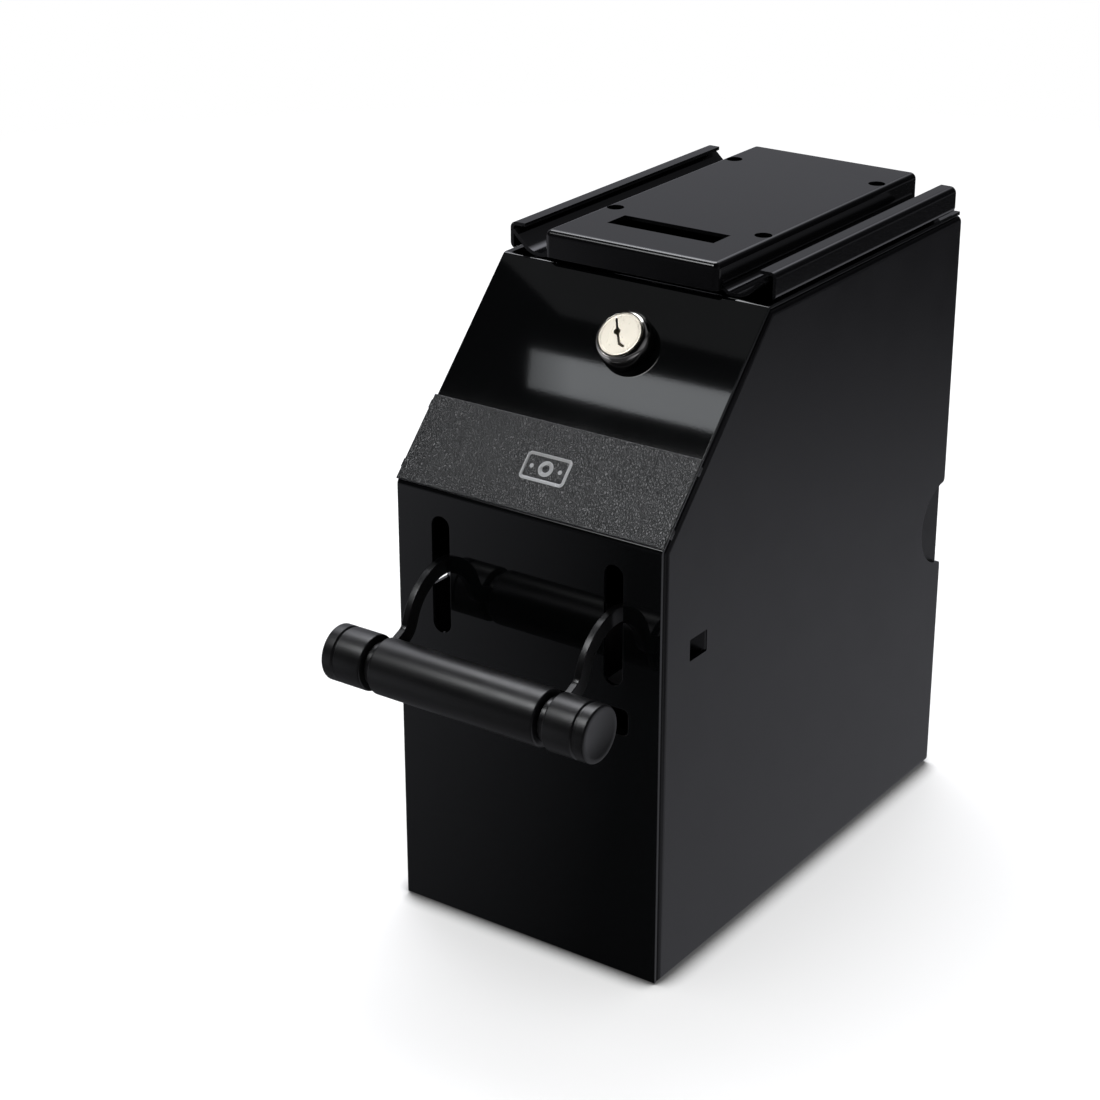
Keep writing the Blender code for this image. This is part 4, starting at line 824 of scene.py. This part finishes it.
def make_mount_bracket():
    """Hat-shaped bracket: a bent box open below, with wings, four screw holes and a window."""
    top = BRACKET_HIGH.z
    front = BRACKET_LOW.y - FRONT
    rear = BRACKET_HIGH.y - FRONT
    stop = BRACKET_LOW.z
    bracket = block("formed_bracket", (-BRACKET_HALF_WIDTH, front, stop),
                    (BRACKET_HALF_WIDTH, rear, top))
    bevel = bracket.modifiers.new("bent_edges", "BEVEL")
    bevel.width = BEND + SHEET
    bevel.segments = 10
    bevel.limit_method = "ANGLE"
    inner_x = BRACKET_HALF_WIDTH - SHEET
    wide = inner_x + OVERCUT
    under = stop - OVERCUT
    hollow = block("bracket_hollow", (-inner_x, front + SHEET, under),
                   (inner_x, rear - SHEET, top - SHEET))
    inside = hollow.modifiers.new("bent_inside", "BEVEL")
    inside.width = BEND
    inside.segments = 6
    inside.limit_method = "ANGLE"
    cut(bracket, hollow)
    cut(bracket, block("bracket_under_tool", (-wide, front - OVERCUT, under),
                       (wide, rear - SHEET, SKIRT_BOTTOM)))
    cut(bracket, block("bracket_wall_tool", (-wide, WING_Y[0] - WING_RELIEF, SKIRT_BOTTOM - MM),
                       (wide, WING_Y[1] + WING_RELIEF, WALL_BOTTOM)))
    for label, side in sides():
        fuse(bracket, make_wing(label, side))
        for number, y in enumerate(HOLE_Y):
            hole = circle((side * HOLE_X, y), HOLE_RADIUS, 64)
            cut(bracket, bracket_top_tool("%s_hole_tool_%d" % (label, number), hole))
    cut(bracket, bracket_top_tool("window_tool", rectangle(*BRACKET_WINDOW_X, *BRACKET_WINDOW_Y)))
    soften(bracket, SHEET_EDGE)
    return seat(bracket, "bracket", "satin_panel", SMOOTH, "mount_bracket")


def make_wing(label, side):
    """Strip that leaves the foot of the bracket's wall and curls up under a rail."""
    flat = BODY_HEIGHT + SEAM + SHEET
    wall = side * (BRACKET_HALF_WIDTH - 0.05 * MM)
    line = [(side * BRACKET_HIGH.x, WING_TIP_Z), (side * WING_FLAT_X, flat),
            (wall, flat), (wall, WALL_BOTTOM + MM)]
    return sheet(label + "_wing", "Y", line, side * SHEET, WING_BENDS, *WING_Y)


def bracket_top_tool(name, outline):
    return prism(name, "Z", outline, BRACKET_HIGH.z - 2.0 * SHEET, BRACKET_HIGH.z + SHEET)


def make_note_tray():
    """Open-topped store whose front edge follows the slope."""
    front = TRAY_LOW.y - FRONT
    half = TRAY_HIGH.x
    slope = body_profile(TRAY_SLOPE_GAP, BODY_DEPTH)
    foot, crown = Vector(slope[2]), Vector(slope[1])
    lean = (crown.x - foot.x) / (crown.y - foot.y)
    outline = [(front, TRAY_LOW.z), (BODY_DEPTH, TRAY_LOW.z), (BODY_DEPTH, TRAY_HIGH.z),
               (foot.x + (TRAY_HIGH.z - foot.y) * lean, TRAY_HIGH.z),
               (front, foot.y + (front - foot.x) / lean)]
    tray = prism("formed_note_tray", "X", outline, -half, half)
    cut(tray, block("tray_hollow", (-half + SHEET, front + SHEET, TRAY_LOW.z + SHEET),
                    (half - SHEET, BODY_DEPTH - SHEET, BODY_HEIGHT + OVERCUT)))
    cut(tray, block("tray_mouth", (-half + SHEET, front - OVERCUT, TRAY_FRONT_WALL),
                    (half - SHEET, front + OVERCUT, BODY_HEIGHT + OVERCUT)))
    bar = ((BAR_LOW.y + BAR_HIGH.y) / 2.0 - FRONT, BAR_HIGH.z - RIVET_BELOW_TOP)
    for label, side in sides():
        low, high = span(side, half - OVERCUT, half + OVERCUT)
        cut(tray, prism(label + "_rivet_hole", "X", circle(bar, RIVET_HOLE, 32), low, high))
    soften(tray, THICK_EDGE)
    return seat(tray, "tray", "inner_paint", INNER, "note_tray")


# ---- lever

def boss_arc(centre, radius, towards):
    """Round boss, open where the band of the arm leaves it."""
    leaving = math.degrees(math.atan2(towards[1] - centre[1], towards[0] - centre[0]))
    half = math.degrees(math.asin(ARM_WIDTH / 2.0 / radius))
    return arc(centre, radius, leaving + half, leaving + 360.0 - half, 56)


def arm_outline():
    """Hub, arched band and eye as one closed outline."""
    line = offset_points([PIVOT, ARM_CROWN, ARM_KNEE, HANDLE], -ARM_WIDTH / 2.0)
    upper, lower = sheet_faces(line, ARM_WIDTH, (ARM_ARCH_RADIUS - ARM_WIDTH / 2.0, ARM_KNEE_BEND), 28)
    hub = boss_arc(PIVOT, HUB_RADIUS, ARM_CROWN)
    eye = boss_arc(HANDLE, EYE_RADIUS, ARM_KNEE)
    return hub + upper[1:-1] + eye + lower[-2:0:-1]


def make_lever_arm(label, side):
    """Flat arm with a bore that fits the shaft's two flats and an eye for the tie rod."""
    low, high = span(side, ARM_X - ARM_THICKNESS / 2.0, ARM_X + ARM_THICKNESS / 2.0)
    arm = prism("formed_%s_arm" % label, "X", arm_outline(), low, high)
    limit = math.degrees(math.asin((SHAFT_FLAT + RUNNING_GAP) / (SHAFT_RADIUS + RUNNING_GAP)))
    bore = arc(PIVOT, SHAFT_RADIUS + RUNNING_GAP, -limit, limit, 16)
    bore += arc(PIVOT, SHAFT_RADIUS + RUNNING_GAP, 180.0 - limit, 180.0 + limit, 16)
    cut(arm, prism(label + "_arm_bore", "X", bore, low - MM, high + MM))
    cut(arm, prism(label + "_eye_bore", "X", circle(HANDLE, TIE_ROD_BORE, 40), low - MM, high + MM))
    soften(arm, THICK_EDGE, 3)
    return seat(arm, "lever", "arm_paint", ARM, label + "_lever_arm")


def make_grip_tube():
    end = GRIP_HIGH.x
    shoulder = HANDLE_RADIUS - GRIP_EDGE
    profile = [(TIE_ROD_BORE, -end)]
    profile += arc((shoulder, -end + GRIP_EDGE), GRIP_EDGE, -90.0, 0.0, 8)
    profile += arc((shoulder, end - GRIP_EDGE), GRIP_EDGE, 0.0, 90.0, 8)
    profile += [(TIE_ROD_BORE, end)]
    grip = turned_on_x("formed_grip", profile, True, HANDLE)
    return seat(grip, "lever", "handle", KNOB, "grip_tube")


def groove_profile(place):
    """Ring groove with small lead-ins, from the outer side of the knob to its inner side."""
    outer = [(HANDLE_RADIUS, GROOVE_HALF + GROOVE_LEAD), (HANDLE_RADIUS - GROOVE_EDGE, GROOVE_HALF),
             (HANDLE_RADIUS - GROOVE_DEPTH, GROOVE_FLOOR_HALF)]
    inner = [(radius, -along) for radius, along in reversed(outer)]
    return [(radius, place + along) for radius, along in outer + inner]


def make_knob(label, side):
    """End knob with a ring groove, a slightly dished end and a blind hole for the tie rod."""
    start, end = KNOB_LOW.x, KNOB_HIGH.x
    shoulder = HANDLE_RADIUS - KNOB_EDGE
    dish = end - KNOB_DISH
    profile = [(0.0, dish), (HANDLE_RADIUS - KNOB_DISH_RIM[0], dish),
               (HANDLE_RADIUS - KNOB_DISH_RIM[1], end)]
    profile += arc((shoulder, end - KNOB_EDGE), KNOB_EDGE, 90.0, 0.0, 8)
    profile += groove_profile(end - KNOB_GROOVE)
    profile += arc((shoulder, start + KNOB_EDGE), KNOB_EDGE, 0.0, -90.0, 8)
    profile += [(TIE_ROD_BORE, start), (TIE_ROD_BORE, KNOB_HOLE_END), (0.0, KNOB_HOLE_END)]
    placed = [(radius, side * x) for radius, x in profile]
    knob = turned_on_x("formed_%s_knob" % label, placed, False, HANDLE)
    return seat(knob, "lever", "handle", KNOB, label + "_knob")


# ---- lock

def thread_profile():
    points = []
    height = BARREL_END + BARREL_LEAD
    while height < THREAD_TOP:
        points += [(BARREL_RADIUS, height), (BARREL_RADIUS - THREAD_DEPTH, height + THREAD_PITCH / 2.0)]
        height += THREAD_PITCH
    return points


def bezel_profile():
    """Outer side of the bezel from its foot over the dome."""
    points = [(BEZEL_RADIUS - BEZEL_EDGE, SEAM), (BEZEL_RADIUS, SEAM + BEZEL_EDGE)]
    for across, up in arc((0.0, 0.0), 1.0, 0.0, 78.0, 16):
        points.append((BEZEL_RADIUS - (1.0 - across) * BEZEL_DOME[0],
                       BEZEL_HEIGHT - (1.0 - up) * BEZEL_DOME[1]))
    return points


def make_lock_housing():
    """Threaded barrel with a domed bezel round the key face."""
    bore = PLUG_RADIUS + RUNNING_GAP
    recess = PLUG_FACE_RADIUS + PLUG_FACE_GAP
    profile = [(bore, BARREL_END), (BARREL_RADIUS - BARREL_LEAD, BARREL_END)]
    profile += thread_profile()
    profile += [(BARREL_RADIUS - THREAD_DEPTH, SEAM)]
    profile += bezel_profile()
    profile += arc((recess + BEZEL_LIP, BEZEL_HEIGHT - BEZEL_LIP), BEZEL_LIP, 90.0, 180.0, 4)
    profile += [(recess, PLUG_SEAT), (bore, PLUG_SEAT)]
    housing = on_slope(turned("formed_lock_housing", profile, True, 128), LOCK_CENTRE)
    return seat(housing, "housing", "bright_nickel", BRIGHT, "lock_housing")


def keyway_tools():
    """Slit, round middle and hook of the keyway, leaning to the left on the face."""
    slit = rounded_rectangle(-0.95 * MM, -0.20 * MM, -3.6 * MM, 6.2 * MM, 0.3 * MM, 4)
    middle = circle((-0.75 * MM, 1.3 * MM), 1.15 * MM, 32)
    hook = [(-0.95 * MM, -2.6 * MM), (-0.20 * MM, -3.0 * MM), (1.25 * MM, -4.5 * MM),
            (0.75 * MM, -5.2 * MM), (-0.95 * MM, -3.6 * MM)]
    tools = []
    for name, outline in (("slit", slit), ("middle", middle), ("hook", hook)):
        tool = prism("keyway_" + name, "Z", outline, PLUG_FACE - KEY_DEPTH, PLUG_FACE + MM)
        tool.data.transform(Matrix.Rotation(KEY_ANGLE, 4, "Z"))
        tools.append(tool)
    return tools


def make_lock_plug():
    """Plug with its key face, a square end for the cam and a tapped hole for its screw."""
    seat_height = PLUG_SEAT + SEAM
    face = PLUG_FACE - PLUG_RIM_STEP
    profile = [(0.0, PLUG_END), (PLUG_RADIUS, PLUG_END), (PLUG_RADIUS, seat_height),
               (PLUG_FACE_RADIUS, seat_height)]
    profile += arc((PLUG_FACE_RADIUS - PLUG_FACE_EDGE, PLUG_FACE - PLUG_FACE_EDGE), PLUG_FACE_EDGE,
                   0.0, 90.0, 5)
    profile += [(PLUG_FACE_RADIUS - PLUG_RIM[0], PLUG_FACE), (PLUG_FACE_RADIUS - PLUG_RIM[1], face),
                (0.0, face)]
    plug = turned("formed_lock_plug", profile, False, 96)
    half = PLUG_SQUARE / 2.0
    fuse(plug, block("plug_square", (-half, -half, PLUG_SQUARE_END), (half, half, PLUG_END + MM)))
    cut(plug, *keyway_tools())
    tapping = circle((0.0, 0.0), TAPPING_RADIUS, 24)
    cut(plug, prism("plug_tapping", "Z", tapping, PLUG_SQUARE_END - MM, TAPPING_END))
    soften(plug, PLUG_EDGE)
    on_slope(plug, LOCK_CENTRE)
    return seat(plug, "lock", "satin_nickel", NICKEL, "lock_plug")


# ---- pieces kept from the frame

def dress(look, width, *names):
    """Keep a CAD piece, with softened edges and a finish of its own."""
    for name in names:
        obj = frame["nodes"][name]
        weld = obj.modifiers.new("join", "WELD")
        weld.merge_threshold = 1e-6
        bevel = obj.modifiers.new("soft_edges", "BEVEL")
        bevel.width = width
        bevel.segments = 2
        bevel.limit_method = "ANGLE"
        bevel.angle_limit = math.radians(35.0)
        weigh = obj.modifiers.new("even_shading", "WEIGHTED_NORMAL")
        weigh.keep_sharp = True
        obj.data.materials.clear()
        obj.data.materials.append(look)


def pair(name):
    return tuple(label + "_" + name for label, side in sides())


# ---- room

FLOOR_REACH = 4.0
FLOOR_DROP = 0.2 * MM
FLOOR_FADE = (0.6, 1.1)
FLOOR_GLOW = 0.45
# Reach and darkest value of the floor's painted contact shadow.
CONTACT_REACH = 11.0 * MM
CONTACT_SHADE = 0.15
WASH_HEIGHT = 1.5
WASH_SIZE = (6.0, 6.0)
WASH_POWER = 165.0
CARD_HEIGHT = 1400.0
ROOM_TINT = (0.91, 0.92, 1.0, 1.0)
ROOM_DARK = 0.03
CAMERA_TURN, CAMERA_RISE, CAMERA_ROLL = 35.26, 23.45, -0.09
CAMERA_DISTANCE = 0.88015
CAMERA_LENS = 84.2
CAMERA_TARGET = Vector((0.0, 0.090 + FRONT, 0.110))
CAMERA_SHIFT = (0.04423, 0.00141)


def flat_card(name, corners, tint, strength):
    """Card, corners in mm, seen only in reflections. A strength of two pairs is a fade along X."""
    mesh = bpy.data.meshes.new(name)
    points = [Vector((x, y, CARD_HEIGHT)) * MM + Vector((0.0, FRONT, 0.0)) for x, y in corners]
    mesh.from_pydata(points, [], [tuple(range(len(points)))])
    card = bpy.data.objects.new(name, mesh)
    bpy.context.collection.objects.link(card)
    material = bpy.data.materials.new(name)
    material.use_nodes = True
    tree = material.node_tree
    tree.nodes.clear()
    if isinstance(strength, tuple):
        (start, low), (end, high) = strength
        place = node(tree, "ShaderNodeTexCoord").outputs["Object"]
        x = node(tree, "ShaderNodeSeparateXYZ", {0: place}).outputs[0]
        strength = ramp(tree, x, start * MM, end * MM, low, high)
    glow = node(tree, "ShaderNodeEmission", {"Color": (*tint, 1.0), "Strength": strength})
    node(tree, "ShaderNodeOutputMaterial", {"Surface": glow.outputs[0]})
    mesh.materials.append(material)
    card.visible_camera = False
    card.visible_diffuse = False
    card.visible_shadow = False


def area_light(name, place, aim, size, power, tint=(1.0, 1.0, 1.0), glossy=True):
    data = bpy.data.lights.new(name, "AREA")
    data.shape = "RECTANGLE"
    data.size, data.size_y = size
    data.energy = power
    data.color = tint
    light = bpy.data.objects.new(name, data)
    light.location = place
    light.rotation_euler = (Vector(aim) - Vector(place)).to_track_quat("-Z", "Y").to_euler()
    light.visible_camera = False
    light.visible_glossy = glossy
    bpy.context.collection.objects.link(light)
    return light


def glow_below(tree, x, y, z):
    """Strength below the horizon: dark straight in front, lit to the left, to the right and behind."""
    bearing = math_node(tree, "ARCTAN2", math_node(tree, "MULTIPLY", x, -1.0),
                        math_node(tree, "MULTIPLY", y, -1.0))
    left = ramp(tree, bearing, math.radians(32.5), math.radians(40.0), 0.0, 1.0)
    right = ramp(tree, bearing, math.radians(-25.0), math.radians(-75.0), 0.0, 1.0)
    near = ramp(tree, z, -0.295, -0.40, 0.015, 0.40)
    far = ramp(tree, z, -0.36, -0.54, 0.42, 0.12)
    lit = math_node(tree, "ADD", math_node(tree, "MULTIPLY", right, near),
                    math_node(tree, "MULTIPLY", left, far))
    return math_node(tree, "MAXIMUM", lit, ramp(tree, z, -0.20, -0.08, ROOM_DARK, 0.15))


def glow_above(tree, x, y, z):
    """Strength above the horizon: a lit backdrop behind and to the left, a dim room elsewhere."""
    back = ramp(tree, y, -0.1, 0.7, ROOM_DARK, 0.29)
    crown = math_node(tree, "MULTIPLY", ramp(tree, z, 0.42, 0.60, 0.0, 1.6),
                      ramp(tree, y, 0.1, 0.45, 0.0, 1.0))
    over_left = math_node(tree, "MULTIPLY", math_node(tree, "ADD", back, crown),
                          ramp(tree, x, 0.10, -0.20, 0.06, 1.0))
    return math_node(tree, "ADD", over_left, ramp(tree, x, 0.80, 1.0, 0.0, 0.16))


def make_world():
    """White to the camera; what the coats mirror is a grey room."""
    world = bpy.data.worlds.new("studio")
    bpy.context.scene.world = world
    world.use_nodes = True
    tree = world.node_tree
    tree.nodes.clear()
    direction = node(tree, "ShaderNodeTexCoord").outputs["Generated"]
    x, y, z = node(tree, "ShaderNodeSeparateXYZ", {0: direction}).outputs
    above = ramp(tree, z, -0.04, 0.04, 0.0, 1.0)
    strength = node(tree, "ShaderNodeMix", {"Factor": above, "A": glow_below(tree, x, y, z),
                                            "B": glow_above(tree, x, y, z)}).outputs["Result"]
    room = node(tree, "ShaderNodeBackground", {"Color": ROOM_TINT, "Strength": strength})
    white = node(tree, "ShaderNodeBackground", {"Color": (1.0, 1.0, 1.0, 1.0), "Strength": 1.0})
    seen = node(tree, "ShaderNodeLightPath").outputs["Is Camera Ray"]
    shown = node(tree, "ShaderNodeMixShader", {0: seen, 1: room.outputs[0], 2: white.outputs[0]})
    node(tree, "ShaderNodeOutputWorld", {"Surface": shown.outputs[0]})


def floor_material():
    """Pale floor with a painted contact shadow, darker close to the safe, that fades to clean white further
    out.
    """
    material, tree, shader, place = start_material("floor")
    open_sky = node(tree, "ShaderNodeAmbientOcclusion", {"Distance": CONTACT_REACH}, samples=8)
    # Ambient occlusion darkens the floor's colour and its glow near the safe: a painted contact shadow.
    painted_contact_shadow = ramp(tree, open_sky.outputs["AO"], 0.5, 0.82, CONTACT_SHADE, 1.0)
    pale = mix_colour(tree, noise_at(tree, place, 8.0, 2.0), (0.80, 0.80, 0.81), (0.83, 0.83, 0.83))
    tree.links.new(mix_colour(tree, painted_contact_shadow, (0.0, 0.0, 0.0), pale), shader.inputs["Base Color"])
    shader.inputs["Roughness"].default_value = 0.9
    shader.inputs["Specular IOR Level"].default_value = 0.0
    away = node(tree, "ShaderNodeVectorMath", {0: place}, operation="LENGTH").outputs["Value"]
    share = ramp(tree, away, *FLOOR_FADE, FLOOR_GLOW, 1.0)
    glow = node(tree, "ShaderNodeEmission", {"Strength": painted_contact_shadow})
    mixed = node(tree, "ShaderNodeMixShader", {0: share, 1: shader.outputs[0], 2: glow.outputs[0]})
    tree.links.new(mixed.outputs[0], tree.nodes["Material Output"].inputs["Surface"])
    return material


def make_floor():
    """Floor with a wide soft light that falls on nothing else."""
    outline = rectangle(-FLOOR_REACH, FLOOR_REACH, -FLOOR_REACH, FLOOR_REACH)
    mesh = bpy.data.meshes.new("floor")
    mesh.from_pydata([(x, y, -FLOOR_DROP) for x, y in outline], [], [(0, 1, 2, 3)])
    mesh.materials.append(floor_material())
    floor = bpy.data.objects.new("floor", mesh)
    bpy.context.collection.objects.link(floor)
    floor.visible_glossy = False
    wash = area_light("floor_wash", (0.0, 0.0, WASH_HEIGHT), (0.0, 0.0, 0.0), WASH_SIZE, WASH_POWER,
                      glossy=False)
    lit = bpy.data.collections.new("floor_only")
    lit.objects.link(floor)
    wash.light_linking.receiver_collection = lit


def make_lights():
    """Cards that the slope and the name plate mirror, and one soft light from above and behind."""
    flat_card("strip_light", ((-912, -542), (-918, -582), (-450, -584), (-450, -540)),
              (0.93, 0.965, 1.0), ((-925, 1.2), (-865, 3.2)))
    flat_card("front_box", ((-1200, -1200), (-300, -1200), (-300, -618), (-1200, -618)),
              (0.97, 0.985, 1.0), ((-1100, 0.0), (-600, 12.5)))
    flat_card("dim_card", ((-1100, -420), (-938, -460), (-877, -501), (-450, -512), (-450, -100),
                           (-1100, -100)), (0.95, 0.97, 1.0), 0.2)
    area_light("overhead", (-0.30, 0.35, 1.1), (0.0, 0.0, 0.1), (0.7, 0.5), 6.0, (0.96, 0.97, 1.0))


def make_camera():
    """Turned and raised by the named angles, and aimed a little left of the safe."""
    turn, rise, roll = (math.radians(angle) for angle in (CAMERA_TURN, CAMERA_RISE, CAMERA_ROLL))
    back = Vector((math.sin(turn) * math.cos(rise), -math.cos(turn) * math.cos(rise), math.sin(rise)))
    right = Vector((math.cos(turn), math.sin(turn), 0.0))
    up = back.cross(right)
    target = CAMERA_TARGET - right * CAMERA_SHIFT[0] - up * CAMERA_SHIFT[1]
    camera = bpy.data.objects.new("camera", bpy.data.cameras.new("camera"))
    camera.data.sensor_width = 36.0
    camera.data.lens = CAMERA_LENS
    camera.data.clip_start = 0.05
    camera.data.clip_end = 50.0
    axes = Matrix((right, up, back)).transposed().to_4x4()
    place = Matrix.Translation(target + back * CAMERA_DISTANCE)
    camera.matrix_world = place @ axes @ Matrix.Rotation(roll, 4, "Z")
    bpy.context.collection.objects.link(camera)
    bpy.context.scene.camera = camera


# ---- scene

make_wrap_shell()
make_name_plate()
make_plate_mark()
make_mount_bracket()
make_note_tray()
make_grip_tube()
make_lock_housing()
make_lock_plug()
for label, side in sides():
    make_side_pan(label, side)
    make_rail(label, side)
    make_lever_arm(label, side)
    make_knob(label, side)
# shutter_plate and note_chute take the dark inner coat in place of bright metal. This is painted shade that
# keeps the lever slots and the note mouth dark.
dress(INNER, 0.12 * MM, "base_panel", "note_chute", "shutter_plate")
dress(ZINC, 0.10 * MM, "pivot_shaft", "tie_rod", "lock_nut", "lock_cam",
      "tray_lock_bar", *pair("pivot_bracket"))
dress(ZINC, 0.06 * MM, "cam_washer", "cam_screw", *pair("shutter_screw"), *pair("bar_rivet"))
dress(NYLON, 0.08 * MM, *pair("pivot_bush"))
dress(SPRING, 0.04 * MM, *pair("return_spring"), *pair("shaft_clip"))
make_world()
make_floor()
make_lights()
make_camera()
bpy.context.scene.view_settings.view_transform = "Standard"
